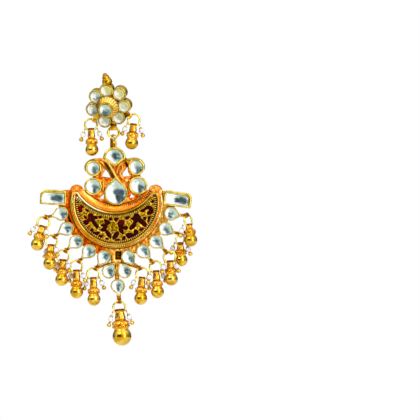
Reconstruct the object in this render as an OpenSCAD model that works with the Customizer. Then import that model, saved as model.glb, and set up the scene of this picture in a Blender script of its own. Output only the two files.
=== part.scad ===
// Crescent drop earring: a flower ear top set with stones, a jump ring, and a crescent
// pendant with a pierced gold panel over dark red glass, pear stones and ball drops.
// Millimetres. +X is the viewer's right, -Y is towards the viewer and +Z is up.
// The origin is where the ear post leaves the back of the flower, so the lobe sits there.

/* [Flower] */
// Angle between the flower's face and straight ahead
flower_tilt = 25; // [20:1:30]
// Way the face leans, anticlockwise from the viewer's right
flower_tilt_dir = 238; // [230:1:245]
// Outer radius of a petal cup
petal_r = 2.1; // [2.06:0.01:2.14]
// Height of a petal cup above the back of the flower
petal_h = 2.3; // [2.1:0.1:2.5]
// Height of the raised centre cup's rim above the back
centre_h = 5.9; // [5.2:0.1:6.4]
// Outer radius of the centre cup
centre_r = 2.2; // [2.0:0.05:2.4]
// Radius of the fluted collar under the centre cup
collar_r = 3.3; // [3.0:0.1:3.5]
// Radius of the ear post
post_r = 0.45; // [0.4:0.05:0.5]
// Length of the ear post
post_length = 10.5; // [9:0.5:12]

/* [Link] */
// Radius of the link ring, to the middle of its wire
link_r = 1.72; // [1.6:0.02:1.8]
// Radius of the link ring's wire
link_wire_r = 0.28; // [0.24:0.01:0.3]
// Wire radius of the bail on top of the pendant
bail_wire_r = 0.36; // [0.3:0.01:0.38]
// Turn of the bail about the vertical, out of its edge-on place
bail_turn = 42; // [30:1:44]

/* [Crescent] */
// Outer radius of the raised crescent rim
rim_r = 13.83; // [13.7:0.01:14.0]
// Outer radius of the plate that carries the pear stones
plate_r = 16.5; // [16.2:0.1:16.6]
// Radius of the panel's lower edge
panel_low_r = 12.42; // [12.2:0.01:12.5]
// Radius of the panel's upper edge
panel_top_r = 13.75; // [13.6:0.05:13.9]
// Radius of the upper edge of the band over the panel
band_top_r = 11.8; // [11.6:0.1:12.0]
// Thickness of the back plate
plate_t = 0.9; // [0.7:0.1:1.0]
// Depth of the whole pendant frame, front to back
frame_depth = 2.6; // [2.4:0.1:2.8]

/* [Stones] */
// Outer radius of a pear setting's round end
pear_r = 2.1; // [1.95:0.05:2.15]
// Distance from the round end's centre to the setting's point
pear_reach = 3.3; // [3.1:0.1:3.4]
// Radius of the circle through the pear settings
pear_circle_r = 16.83; // [16.6:0.01:17.0]
// Angle from one pear setting to the next
pear_step = 16.45; // [16.2:0.05:16.6]
// Wall thickness of the large settings
wall = 0.3; // [0.2:0.05:0.35]
// Wall thickness of the pear settings
pear_wall = 0.24; // [0.15:0.01:0.28]
// Gap between a stone and its setting
seat_gap = 0.05; // [0.03:0.01:0.08]

/* [Drops] */
// Radius of a jump ring, to the middle of its wire
ring_r = 1.8; // [1.7:0.02:1.85]
// Radius of a jump ring's wire
ring_wire_r = 0.28; // [0.22:0.01:0.29]
// Radius of a small gold ball
ball_r = 1.95; // [1.8:0.05:2.0]
// Radius of a drop's neck
neck_r = 0.95; // [0.85:0.05:1.0]
// Radius of a seed pearl
pearl_r = 0.78; // [0.7:0.02:0.8]

/* [Hidden] */
$fn = 64;
big = 60;
gold = [0.86, 0.56, 0.13];
drop_gold = [0.83, 0.62, 0.16];
orange_gold = [0.9, 0.45, 0.1];
stone_white = [0.84, 0.9, 0.86];
pearl_white = [0.93, 0.93, 0.88];
glass_red = [0.25, 0.02, 0.02];

// Petal cups round the flower, as they were set by hand
// columns: radius from the middle, angle
PETALS = [
  [4.88, 95.2], [5.32, 48.2], [4.8, 0.4], [4.59, -51.5], [5.06, -107], [5.14, -164.7], [4.7, 143.8],
];

// Places on the flower's rim where the two side drops and the link hang
// columns: radius from the middle, angle
HOOK_R = 0;
HOOK_A = 1;
FLOWER_HOOKS = [
  [7.328, 225.83],
  [6.906, -31.11],
  [7.124, -83.84],
];
hook_level = 0.4;

// Large round settings of the pendant's top group, from the link ring's centre
// columns: x, height, outer radius
ROUND_SETTINGS = [
  [-6.0, -10.89, 2.31],
  [6.84, -10.53, 2.4],
  [-6.12, -16.3, 2.58],
  [7.41, -16.08, 2.7],
];
round_names = ["stone_upper_left", "stone_upper_right", "stone_lower_left", "stone_lower_right"];

// Top stone: a circle cut to a point below
top_c = [0.27, -7.89];
top_r = 3.3;
top_point = -10.45;

// Teardrop in the middle of the top group, point up
tear_c = [0.75, -18.39];
tear_r = 3.5;
tear_reach = 4.85;

// Crescent: its own centre, and those of the panel's upper edge and the band's
crescent_c = [0.78, -21.06];
panel_top_c = [0.36, -10.85];
panel_tip_h = -18.55;
band_top_c = [0.78, -10.05];
horn_x = 11.82;
horn_z = 3.12;
horn_r = 2.1;

// Baguettes at the two horns
// columns: x, height, half length, half width, turn, side of the rounded corner
BAGUETTES = [
  [-18.1, -19.6, 3.85, 2.2, -3, -1],
  [19.3, -20.2, 4.1, 2.2, -8, 1],
];
baguette_wall = 0.45;
baguette_corner = 1.7;

// Lean of the pear settings away from the crescent's radius, from the middle outwards
PEAR_LEANS = [22, 16, 3, 0, -2];
pear_first = 12.35;

// The three settings under the crescent
// columns: x, height, direction of the point
LOWER_PEARS = [
  [-1.4, -41.9, 58],
  [3.3, -41.8, 124],
  [1.3, -46.2, -85],
];

// Where the pendant's drops hang, left to right; the sixth is the foot of the stem
PENDANT_HOOKS = [
  [-20.34, -25.59], [-17.64, -31.38], [-14.34, -35.64], [-10.29, -38.79], [-5.34, -40.98],
  [1.71, -50.85],
  [7.86, -40.89], [11.61, -39.09], [15.81, -36.09], [19.95, -30.54], [21.87, -25],
];
foot = 6;

// Small square-cut recess in the web above them
recess_c = [1.53, -37.05];
recess_size = [1.7, 2.4];

// Hanging drops
// columns: swing of the ring, its turn, lean of the drop, lean to the front, length, size
SWING = 0;
TURN = 1;
LEAN = 2;
FRONT = 3;
LENGTH = 4;
SIZE = 5;
DROPS = [
  [-23, 0, -14.7, 11, 6.85, 1],
  [-36.7, 0, -3, 9, 6.73, 1],
  [-28.8, 0, -2.7, 0, 7.1, 1],
  [-30, 0, 1, 0, 7.74, 1],
  [-26, 0, 2, 0, 7.65, 1],
  [0, 0, 5.5, 0, 8.74, 1.45],
  [25, 0, -3.4, 0, 7.48, 1],
  [36, 0, 4.2, 0, 7.46, 1],
  [35, 0, 4.6, 0, 6.65, 1],
  [10, 48, 12.7, -8, 6.4, 1],
  [14, 52, -3.3, 12.5, 5.9, 1],
  [-34, 0, 2.3, 0, 7.47, 1],
  [45, 0, -5.3, 0, 6.87, 1],
];
last_pendant_drop = 11;

// Directions of each drop's seed pearls round its axis: 0 is right and 90 is to the front
PEARL_TURNS = [
  [45, 170], [45, 235], [45, 228], [35, 225], [0, 205], [20, 165], [320, 170],
  [325, 145], [40, 145], [68, 248], [322, 212], [5, 175], [-5, 170],
];
pearl_splay = 22;
pearl_start = 1.8;
pearl_down = 1.1;

// Levels of the pendant, from the link ring's plane towards the viewer
back_z = -frame_depth / 2;
plate_z = back_z + plate_t;
front_z = frame_depth / 2;
rim_z = 0.7;
pear_z = 0.9;
ribbon_z = 0.3;
panel_t = 0.4;
fret_t = 0.3;

function polar(r, a) = [r * cos(a), r * sin(a)];

// A point of the flower's own frame, in the part's frame
tilt_axis = [-sin(flower_tilt_dir), cos(flower_tilt_dir), 0];
function tilted(p) =
  p * cos(flower_tilt)
  + cross(tilt_axis, p) * sin(flower_tilt)
  + tilt_axis * (tilt_axis * p) * (1 - cos(flower_tilt));
function from_flower(p) = let (q = tilted(p)) [q.x, -q.z, q.y];
function flower_hook(i) =
  let (h = FLOWER_HOOKS[i], p = polar(h[HOOK_R], h[HOOK_A])) from_flower([p.x, p.y, hook_level]);

link_hook = flower_hook(2);
link_c = link_hook - [0, 0, link_r];

// Centre and direction of one of the ten pear settings on the crescent, 1 to 10
function pear_side(i) = i <= 5 ? -1 : 1;
function pear_rank(i) = i <= 5 ? 5 - i : i - 6;
function pear_angle(i) = -90 + pear_side(i) * (pear_first + pear_step * pear_rank(i));
function pear_c(i) = crescent_c + polar(pear_circle_r, pear_angle(i));
function pear_dir(i) = pear_angle(i) + pear_side(i) * PEAR_LEANS[pear_rank(i)];

function from_pendant(p) = link_c + [p.x, 0, p.y];
function drop_hook(i) =
  i <= last_pendant_drop ? from_pendant(PENDANT_HOOKS[i - 1]) : flower_hook(i - last_pendant_drop - 1);

// Droop of a ring's arc over half the width of what it passes through
function droop(r, half) = r - sqrt(r * r - half * half);

// Frames: a drawing in X and Y stands upright and grows towards the viewer
module upright() rotate([90, 0, 0]) children();
module on_flower() upright() rotate(flower_tilt, tilt_axis) children();
module on_pendant() translate(link_c) upright() children();
module on_hook(i) translate(drop_hook(i)) rotate([0, 0, DROPS[i - 1][TURN]]) upright() children();
module on_ring(i) {
  row = DROPS[i - 1];
  s = row[SWING];
  on_hook(i) rotate([-row[FRONT], 0, 0]) translate(ring_r * [sin(s), -cos(s), 0]) children();
}

module layer(low, high) translate([0, 0, low]) linear_extrude(high - low) children();

module bar_2d(from, to, w) {
  d = to - from;
  translate(from) rotate(atan2(d.y, d.x)) translate([0, -w / 2]) square([norm(d), w]);
}

// Outline of a pear setting, its point along +X; each straight side starts inside the circle
module pear_2d(r, reach, inset = 0) {
  half = asin(r / reach) - 2;
  line = reach * sin(half) - inset;
  foot = line * [sin(half), cos(half)];
  circle(r - inset);
  polygon([[foot.x, foot.y], [foot.x, -foot.y], [line / sin(half), 0]]);
}

module top_2d(inset = 0) {
  half = 4;
  intersection() {
    translate(top_c) circle(top_r - inset);
    polygon([
      [top_c.x, top_point + 1.2 * inset],
      [top_c.x + half, top_point + 3 + 1.2 * inset],
      [top_c.x + half, 0],
      [top_c.x - half, 0],
      [top_c.x - half, top_point + 3 + 1.2 * inset],
    ]);
  }
}

module tear_2d(inset = 0) translate(tear_c) rotate(93) pear_2d(tear_r, tear_reach, inset);

// A baguette with its outer upper corner rounded
module baguette_2d(row, inset = 0) {
  a = row[2] - inset;
  b = row[3] - inset;
  c = baguette_corner;
  side = row[5];
  corner = [for (t = [0 : 15 : 90]) [side * (a - c + c * cos(t)), b - c + c * sin(t)]];
  translate([row[0], row[1]])
    rotate(row[4])
      polygon(concat([[-side * a, b], [-side * a, -b], [side * a, -b]], corner));
}

module crescent_2d(outer) {
  translate(crescent_c) intersection() {
    difference() {
      circle(outer);
      translate(band_top_c - crescent_c) circle(band_top_r);
    }
    translate([-big / 2, -big + 3.3]) square([big, big]);
  }
  for (s = [-1, 1]) translate(crescent_c + [s * horn_x, horn_z]) circle(horn_r);
}

module panel_2d(inset = 0) difference() {
  intersection() {
    translate(crescent_c) circle(panel_low_r - inset);
    translate([-big / 2, panel_tip_h - inset - big]) square(big);
  }
  translate(panel_top_c) circle(panel_top_r + inset);
}

// Orange web that joins the settings of the top group, with its openings
module top_web_2d() difference() {
  polygon([
    [0.3, -5.8], [-6, -9.6], [-6.4, -16], [-8.6, -17.5], [-6.6, -20.2], [-3.4, -21.6], [0.8, -22.2],
    [5, -21.6], [8.2, -19.8], [9.8, -17.5], [8.2, -13.3], [6.8, -9.4],
  ]);
  polygon([[-2.2, -10.9], [-3.7, -13.3], [-0.9, -13.7]]);
  polygon([[4.1, -10.5], [2.6, -12.6], [2.8, -13.4], [5.2, -13.3]]);
  polygon([[-4.29, -19.95], [-2.9, -18.6], [-2.95, -20.2]]);
  polygon([[4.83, -19.86], [5.31, -18.48], [6.45, -19.53]]);
}

// Web under the crescent, and the stem down to the foot
module foot_web_2d() {
  polygon([
    [-1.0, -34.6], [2.9, -34.6], [2.6, -39.1], [1.7, -40.0], [1.7, -44.4], [0.4, -44.4],
    [0.4, -40.0], [-0.8, -39.1],
  ]);
  bar_2d([1.5, -48.6], PENDANT_HOOKS[foot - 1], 1.3);
  bar_2d(PENDANT_HOOKS[foot - 2], [0, -39.1], 0.7);
  bar_2d([2.1, -39.1], PENDANT_HOOKS[foot], 0.8);
}

// Plate that fills the corners between the baguettes, the horns and the first pears
module horn_web_2d() {
  polygon([[-15.1, -17.4], [-12.2, -17.4], [-12.2, -22.6], [-16.2, -22.6], [-17.2, -21.4]]);
  polygon([[13.6, -17.6], [16.0, -17.8], [19.4, -22.0], [17.6, -22.9], [13.6, -22.9]]);
}

module pear_plates_2d() {
  for (i = [1 : 10]) {
    translate(pear_c(i)) rotate(pear_dir(i)) pear_2d(pear_r, pear_reach);
    bar_2d(pear_c(i) + polar(pear_r, pear_dir(i)), PENDANT_HOOKS[i < foot ? i - 1 : i], 0.9);
  }
  for (p = LOWER_PEARS) translate([p[0], p[1]]) rotate(p[2]) pear_2d(pear_r, pear_reach);
}

module plate_2d() {
  crescent_2d(plate_r);
  top_web_2d();
  foot_web_2d();
  horn_web_2d();
  pear_plates_2d();
  top_2d();
  tear_2d();
  for (r = ROUND_SETTINGS) translate([r[0], r[1]]) circle(r[2]);
  for (b = BAGUETTES) baguette_2d(b);
}

module pear_walls_2d() {
  for (i = [1 : 10]) translate(pear_c(i)) rotate(pear_dir(i)) difference() {
    pear_2d(pear_r, pear_reach);
    pear_2d(pear_r, pear_reach, pear_wall);
  }
  for (p = LOWER_PEARS) translate([p[0], p[1]]) rotate(p[2]) difference() {
    pear_2d(pear_r, pear_reach);
    pear_2d(pear_r, pear_reach, pear_wall);
  }
}

module big_walls_2d() {
  difference() {
    top_2d();
    top_2d(wall);
  }
  difference() {
    tear_2d();
    tear_2d(wall);
  }
  for (r = ROUND_SETTINGS) translate([r[0], r[1]]) difference() {
    circle(r[2]);
    circle(r[2] - wall);
  }
  for (b = BAGUETTES) difference() {
    baguette_2d(b);
    baguette_2d(b, baguette_wall);
  }
}

// Ribbon that crosses the top group, and the strap that mirrors it
module ribbon_2d() {
  bar_2d([-4.2, -9.0], [-2.4, -10.6], 0.9);
  bar_2d([-2.6, -10.3], [0.1, -13.6], 0.9);
  bar_2d([3.2, -9.6], [1.0, -12.6], 0.9);
}

// Short tube that a ring's wire passes through, and its hole
// c is the wire's middle, s the swing of the ring that hangs from it
module eye_body(s, r, half) rotate([0, 0, s]) rotate([0, 90, 0]) cylinder(r = r, h = 2 * half, center = true);
module eye_hole(s, ring, wire, half) {
  d = droop(ring, half);
  rotate([0, 0, s])
    translate([0, -d / 2, 0])
      rotate([0, 90, 0])
        cylinder(r = wire + d / 2 + 0.08, h = 2 * half + 2, center = true);
}
eye_r = 0.68;
eye_half = 0.65;
module drop_eye(i) on_hook(i) eye_body(DROPS[i - 1][SWING], eye_r, eye_half);
module drop_eye_hole(i) on_hook(i) eye_hole(DROPS[i - 1][SWING], ring_r, ring_wire_r, eye_half);

// Strap loop under the flower, which carries the link ring
strap_half = 0.95;
module strap_body() translate(link_hook) upright() {
  translate([0, -0.2, 0]) eye_body(0, 1.0, strap_half);
  translate([0, 0, -0.5]) linear_extrude(1.0)
    polygon([[-strap_half, -0.2], [strap_half, -0.2], [0.75, 1.1], [-0.75, 1.1]]);
}
module strap_hole() translate(link_hook) upright() translate([0, -0.2, 0])
  rotate([0, 90, 0]) cylinder(r = 0.62, h = 2 * strap_half + 2, center = true);

module at_petals() for (p = PETALS) translate(polar(p[0], p[1])) children();
petal_pocket = 0.8;

module collar() rotate_extrude() polygon([
  [0, 0.4], [2.6, 0.4], [2.6, 2.8], [collar_r, 3.3], [centre_r + 0.1, 4.9], [centre_r, centre_h],
  [0, centre_h],
]);

// Three stacked beads that end the flower at the top
module finial() translate([-0.35, 7.25, 0.85]) rotate([0, 0, 16]) rotate([-90, 0, 0])
  rotate_extrude() intersection() {
    translate([0, -1]) square([big, 3.75]);
    union() {
      circle(1.5);
      translate([0, 1.2]) circle(1.1);
      translate([0, 2.1]) circle(0.7);
    }
  }

module flower_setting() color(gold) difference() {
  union() {
    on_flower() difference() {
      union() {
        linear_extrude(0.8)
          for (h = FLOWER_HOOKS) bar_2d(polar(3, h[HOOK_A]), polar(h[HOOK_R] - 0.4, h[HOOK_A]), 1.5);
        linear_extrude(petal_h) {
          circle(collar_r);
          at_petals() circle(petal_r);
        }
        collar();
        finial();
      }
      translate([-big / 2, -big / 2, -big]) cube(big);
      translate([0, 0, petal_h - petal_pocket]) linear_extrude(petal_pocket) intersection() {
        at_petals() circle(petal_r - wall);
        circle(big);
      }
      translate([0, 0, centre_h - 0.8]) cylinder(r = centre_r - wall, h = 3);
    }
    drop_eye(12);
    drop_eye(13);
    strap_body();
  }
  drop_eye_hole(12);
  drop_eye_hole(13);
  strap_hole();
}

module ear_post() color(gold) on_flower() translate([0, 0, -post_length - seat_gap])
  cylinder(r = post_r, h = post_length);

// A round stone with a low dome, its flat back at the origin
module domed(r, h, dome) {
  ball = (r * r + dome * dome) / (2 * dome);
  intersection() {
    cylinder(r = r, h = h + 1);
    translate([0, 0, h - ball]) sphere(ball);
  }
}

module petal_stones() color(stone_white) on_flower() at_petals()
  translate([0, 0, petal_h - petal_pocket + seat_gap])
    domed(petal_r - wall - seat_gap, petal_pocket + 0.15, 0.35);

module centre_stone() color(stone_white) on_flower()
  translate([0, 0, centre_h - 0.8 + seat_gap]) domed(centre_r - wall - seat_gap, 1.0, 0.4);

module link_ring() color(drop_gold) translate(link_c) upright()
  rotate_extrude() translate([link_r, 0]) circle(link_wire_r);

// Upright loop on top of the pendant, round the link ring's lowest wire
bail_r = 1.0;
bail_top = -link_r - 0.26;
bail_foot = -4.85;
// The web that closes the loop below the ring's room
bail_web = 0.4;
bail_web_top = -2.55;
module bail() rotate([0, bail_turn, 0]) {
  translate([0, bail_top, 0]) rotate([0, 90, 0])
    rotate_extrude(angle = 180) translate([bail_r, 0]) circle(bail_wire_r);
  for (s = [-1, 1]) translate([0, bail_top, s * bail_r]) rotate([90, 0, 0])
    cylinder(r = bail_wire_r, h = bail_top - bail_foot);
  translate([-bail_web / 2, bail_foot, -bail_r]) cube([bail_web, bail_web_top - bail_foot, 2 * bail_r]);
}

module pendant_frame() color(orange_gold) difference() {
  union() {
    on_pendant() {
      layer(back_z, plate_z) plate_2d();
      layer(plate_z, rim_z) difference() {
        crescent_2d(rim_r);
        panel_2d();
      }
      layer(plate_z, pear_z) pear_walls_2d();
      layer(plate_z, front_z) big_walls_2d();
      layer(plate_z, ribbon_z) ribbon_2d();
      bail();
    }
    for (i = [1 : last_pendant_drop]) drop_eye(i);
  }
  on_pendant() layer(plate_z - 0.6, front_z) translate(recess_c) square(recess_size, center = true);
  for (i = [1 : last_pendant_drop]) drop_eye_hole(i);
}

module panel_glass() color(glass_red) on_pendant()
  layer(plate_z + 0.02, plate_z + panel_t) panel_2d(seat_gap);

// Gold sheet over the glass; the pierced leaves are the gaps between its stems
module panel_fretwork() color(gold) on_pendant()
  layer(plate_z + panel_t + 0.02, plate_z + panel_t + fret_t) difference() {
    panel_2d(seat_gap);
    for (a = [-60 : 12 : 60])
      translate(crescent_c + polar(11.2 - 0.9 * cos(a), a - 90)) circle(0.55);
    for (a = [-42 : 14 : 42])
      translate(crescent_c + polar(9.1 + 1.2 * sin(abs(a)), a - 90)) circle(0.8);
  }

// A stone of any outline with a low domed face
module dome_cut(c, level, r, dome) {
  ball = (r * r + dome * dome) / (2 * dome);
  intersection() {
    children();
    translate([c.x, c.y, level - ball]) sphere(ball);
  }
}

stone_z = plate_z + 0.02;
module stone_top() color(stone_white) on_pendant()
  dome_cut(top_c, front_z + 0.3, 3, 0.35) layer(stone_z, front_z + 1) top_2d(wall + seat_gap);
module stone_teardrop() color(stone_white) on_pendant()
  dome_cut(tear_c, front_z + 0.3, 3.2, 0.4) layer(stone_z, front_z + 1) tear_2d(wall + seat_gap);
module round_stone(r) color(stone_white) on_pendant() translate([r[0], r[1], stone_z])
  domed(r[2] - wall - seat_gap, front_z + 0.2 - stone_z, 0.35);
module baguette(b) color(stone_white) on_pendant() layer(stone_z, front_z)
  baguette_2d(b, baguette_wall + seat_gap);

function pear_place(i) =
  i <= 10 ? [pear_c(i).x, pear_c(i).y, pear_dir(i)] : LOWER_PEARS[i - 11];
module pear_stone(i) color(stone_white) on_pendant() {
  p = pear_place(i);
  translate([p[0], p[1], 0]) rotate(p[2])
    dome_cut([0, 0], pear_z + 0.3, pear_r, 0.35)
      layer(stone_z, pear_z + 1) pear_2d(pear_r, pear_reach, pear_wall + seat_gap);
}

module jump_ring(i) color(drop_gold) on_ring(i)
  rotate_extrude() translate([ring_r, 0]) circle(ring_wire_r);

// Frame of a drop: +Z runs down along its axis from the ring's centre
module along_drop(i) {
  row = DROPS[i - 1];
  on_ring(i) rotate([0, 0, row[LEAN]]) rotate([90, 0, 0]) children();
}

// Radius and height of the crown over a ball, from the ball's centre
crown_start = 3.4;
crown_start_r = 1.15;
DROP_CROWN = [
  [0, -crown_start], [crown_start_r, -crown_start], [1.5, -3.1], [1.8, -2.6], [1.88, -2.2],
  [1.78, -1.8], [1.5, -1.45], [1.5, -1.2], [0, -1.2],
];
// Level below which the neck widens towards the crown, clear of the ring
neck_flare = 2.3;
module ball_drop(i) {
  row = DROPS[i - 1];
  k = row[SIZE];
  neck = neck_r * (k + 0.1 * (1 - k));
  length = row[LENGTH];
  inner = sqrt(pow(ring_r - ring_wire_r, 2) - neck * neck);
  outer = ring_r + ring_wire_r;
  hole = (outer - inner) / 2 + 0.08;
  hole_level = (outer + inner) / 2;
  neck_top = hole_level - hole - 0.16;
  color(drop_gold) along_drop(i) difference() {
    rotate_extrude() intersection() {
      translate([0, -big / 2]) square([big, big]);
      union() {
        polygon([
          [0, neck_top], [neck, neck_top], [neck, neck_flare],
          [crown_start_r * k, length - crown_start * k], [0, length - crown_start * k],
        ]);
        translate([0, length]) polygon(k * DROP_CROWN);
        translate([0, length]) circle(ball_r * k);
      }
    }
    translate([0, 0, hole_level]) rotate([0, 90, 0]) cylinder(r = hole, h = 8, center = true);
  }
}

// A seed pearl on its wire, capped above and ended by a gold bead
module pearl_drop(size) rotate_extrude() intersection() {
  translate([0, -1]) square([big, big]);
  union() {
    square([0.15, 3.4 * size]);
    translate([0, 1.0 * size]) square([0.45, 0.3]);
    translate([0, 2.0 * size]) circle(pearl_r);
    translate([0, 3.5 * size]) circle(0.6);
  }
}
module pearls_of(i) {
  k = DROPS[i - 1][SIZE];
  along_drop(i) for (t = PEARL_TURNS[i - 1]) rotate([0, 0, t])
    translate([pearl_start + 0.67 * (k - 1), 0, pearl_down]) rotate([0, pearl_splay, 0])
      pearl_drop(sqrt(k));
}
module flower_pearls() color(pearl_white) for (i = [12, 13]) pearls_of(i);
module pendant_pearls() color(pearl_white) for (i = [1 : last_pendant_drop]) pearls_of(i);

flower_setting();
ear_post();
petal_stones();
centre_stone();
link_ring();
pendant_frame();
panel_glass();
panel_fretwork();
stone_top();
stone_teardrop();
for (k = [0 : 3]) round_stone(ROUND_SETTINGS[k]);
baguette(BAGUETTES[0]);  // baguette_left
baguette(BAGUETTES[1]);  // baguette_right
for (i = [1 : 13]) pear_stone(i);
for (i = [1 : 13]) jump_ring(i);
for (i = [1 : 13]) ball_drop(i);
flower_pearls();
pendant_pearls();
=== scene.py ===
"""Looks of the crescent drop earring: stones, bezels, borders, pierced panel, drops and pearls."""

import math
import random

import bmesh
import bpy
import numpy as np
from mathutils import Matrix, Vector, geometry, noise


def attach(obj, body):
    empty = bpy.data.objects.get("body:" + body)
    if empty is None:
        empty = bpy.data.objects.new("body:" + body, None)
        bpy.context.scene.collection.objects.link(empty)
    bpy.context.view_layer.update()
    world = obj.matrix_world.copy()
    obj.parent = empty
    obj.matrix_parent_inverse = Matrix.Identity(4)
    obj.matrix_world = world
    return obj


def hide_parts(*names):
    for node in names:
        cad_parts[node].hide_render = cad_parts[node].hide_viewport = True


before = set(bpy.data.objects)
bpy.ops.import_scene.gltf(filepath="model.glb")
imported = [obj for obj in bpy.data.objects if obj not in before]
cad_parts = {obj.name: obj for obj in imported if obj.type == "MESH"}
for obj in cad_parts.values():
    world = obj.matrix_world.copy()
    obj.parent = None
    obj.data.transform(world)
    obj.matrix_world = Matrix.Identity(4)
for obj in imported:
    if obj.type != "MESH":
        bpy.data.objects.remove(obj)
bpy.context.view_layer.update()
MM = 0.001
RNG = random.Random(7)

# Sizes, as in the CAD source (mm)
LINK_R, LINK_WIRE = 1.72, 0.262
CRESCENT = (0.78, -21.06)
PANEL_TOP = (0.36, -10.85)
BAND_TOP = (0.78, -10.05)
BAND_TOP_R = 11.8
HORNS = [(-11.04, -17.94), (12.6, -17.94)]
PEAR_R, PEAR_REACH, PEAR_CIRCLE = 2.1, 3.3, 16.83
PEAR_LEANS = [22, 16, 3, 0, -2]
# x, y, direction
LOWER_PEARS = [(-1.4, -41.9, 58), (3.3, -41.8, 124), (1.3, -46.2, -85)]
# name, x, y, radius
ROUNDS = [("upper_left", -6.0, -10.89, 2.31), ("upper_right", 6.84, -10.53, 2.4),
          ("lower_left", -6.12, -16.3, 2.58), ("lower_right", 7.41, -16.08, 2.7)]
# name, x, y, half length, half width, turn
BAGUETTES = [("left", -18.1, -19.6, 3.85, 2.2, -3), ("right", 19.3, -20.2, 4.1, 2.2, -8)]
TOP_C, TOP_R = (0.27, -7.89), 3.3
TEAR_C, TEAR_R, TEAR_REACH, TEAR_WAY = (0.75, -18.39), 3.5, 4.85, 93
# x, y of the loops under the pendant, left to right
HOOKS = [
    (-20.34, -25.59), (-17.64, -31.38), (-14.34, -35.64), (-10.29, -38.79), (-5.34, -40.98), (1.71, -50.85),
    (7.86, -40.89), (11.61, -39.09), (15.81, -36.09), (19.95, -30.54), (21.87, -25.0),
]
# distance from the flower's middle and angle of the loops on its rim; the last one carries the link
FLOWER_HOOKS = [(7.328, 225.83), (6.906, -31.11), (7.124, -83.84)]
HOOK_LEVEL = 0.4
# distance from the flower's middle, angle
PETALS = [(4.88, 95.2), (5.32, 48.2), (4.8, 0.4), (4.59, -51.5), (5.06, -107.0), (5.14, -164.7), (4.7, 143.8)]
PETAL_R, PETAL_H, CENTRE_R, CENTRE_H = 2.1, 2.3, 2.2, 5.9
RING_R, RING_WIRE = 1.8, 0.28
# swing, turn, lean, lean to the front, length, scale
DROPS = [
    (-23, 0, -14.7, 11, 6.85, 1), (-36.7, 0, -3, 9, 6.73, 1), (-28.8, 0, -2.7, 0, 7.1, 1),
    (-30, 0, 1, 0, 7.74, 1), (-26, 0, 2, 0, 7.65, 1), (0, 0, 5.5, 0, 8.74, 1.45), (25, 0, -3.4, 0, 7.48, 1),
    (36, 0, 4.2, 0, 7.46, 1), (35, 0, 4.6, 0, 6.65, 1), (10, 48, 12.7, -8, 6.4, 1),
    (14, 52, -3.3, 12.5, 5.9, 1), (-34, 0, 2.3, 0, 7.47, 1), (45, 0, -5.3, 0, 6.87, 1),
]
# way round its drop for each pearl
PEARL_TURNS = [
    (45, 170), (45, 235), (45, 228), (35, 225), (0, 205), (20, 165), (320, 170),
    (325, 145), (40, 145), (68, 248), (322, 212), (5, 175), (-5, 170),
]
# heights in the pendant's plane: its plate, the pear settings and the large settings
PLATE, PEAR_TOP, BIG_TOP = -0.4, 0.9, 1.3
# the front view's units: mm to one, and where the origin and the link ring's centre lie in it
PX, VIEW_ORIGIN, VIEW_PENDANT = 0.3, (110.2, 103.6), (113.8, 131.7)


def cosd(degrees):
    return math.cos(math.radians(degrees))


def sind(degrees):
    return math.sin(math.radians(degrees))


def polar(r, degrees, centre=(0, 0)):
    return (centre[0] + r * cosd(degrees), centre[1] + r * sind(degrees))


def sweep(centre, r, a0, a1, n):
    """Points along an arc."""
    return [polar(r, a, centre) for a in np.linspace(a0, a1, n)]


def rot(axis, degrees):
    return Matrix.Rotation(math.radians(degrees), 4, axis)


def move(x, y, z):
    return Matrix.Translation((x, y, z))


UPRIGHT = rot("X", 90)
FLOWER_TILT, FLOWER_TILT_WAY = 25, 238
FLOWER = UPRIGHT @ rot(Vector((-sind(FLOWER_TILT_WAY), cosd(FLOWER_TILT_WAY), 0)), FLOWER_TILT)


def flower_hook(k):
    return FLOWER @ Vector((*polar(*FLOWER_HOOKS[k]), HOOK_LEVEL))


LINK_C = flower_hook(2) - Vector((0, 0, LINK_R))
PENDANT = move(*LINK_C) @ UPRIGHT
PENDANT_BACK = PENDANT.inverted()


def on_pendant(p):
    """Place of a point in the pendant's plane."""
    return (PENDANT_BACK @ p).xy


def view_of(p):
    """Place of a point in the front view, in view units."""
    return (VIEW_ORIGIN[0] + p[0] / PX, VIEW_ORIGIN[1] - p[2] / PX)


def from_view(x, y):
    """Place in the pendant's plane of a place in the front view."""
    return ((x - VIEW_PENDANT[0]) * PX, (VIEW_PENDANT[1] - y) * PX)


def to_view(x, y):
    """Place in the front view of a place in the pendant's plane."""
    return (VIEW_PENDANT[0] + x / PX, VIEW_PENDANT[1] - y / PX)


def view_path(points):
    return [(*from_view(x, y), z) for x, y, z in points]


def pear_place(i):
    """Centre and direction of pear setting i, 1 to 13."""
    if i > 10:
        return LOWER_PEARS[i - 11]
    side = -1 if i <= 5 else 1
    rank = 5 - i if i <= 5 else i - 6
    a = -90 + side * (12.35 + 16.45 * rank)
    return (*polar(PEAR_CIRCLE, a, CRESCENT), a + side * PEAR_LEANS[rank])


def drop_hook(i):
    if i > 11:
        return flower_hook(i - 12)
    x, z = HOOKS[i - 1]
    return LINK_C + Vector((x, 0, z))


def on_ring(i):
    """Frame of a drop's ring, with the ring's centre at its origin."""
    swing, turn, _, front, _, _ = DROPS[i - 1]
    at = move(*drop_hook(i)) @ rot("Z", turn) @ UPRIGHT @ rot("X", -front)
    return at @ move(RING_R * sind(swing), -RING_R * cosd(swing), 0)


def along_drop(i):
    """Frame of a drop: +Z runs down its axis from the ring's centre."""
    return on_ring(i) @ rot("Z", DROPS[i - 1][2]) @ rot("X", 90)


# Materials
def srgb(r, g, b):
    """A linear colour from screen values, 0 to 255."""
    screen = (c / 255 for c in (r, g, b))
    return (*(c / 12.92 if c <= 0.04045 else ((c + 0.055) / 1.055) ** 2.4 for c in screen), 1.0)


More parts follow.
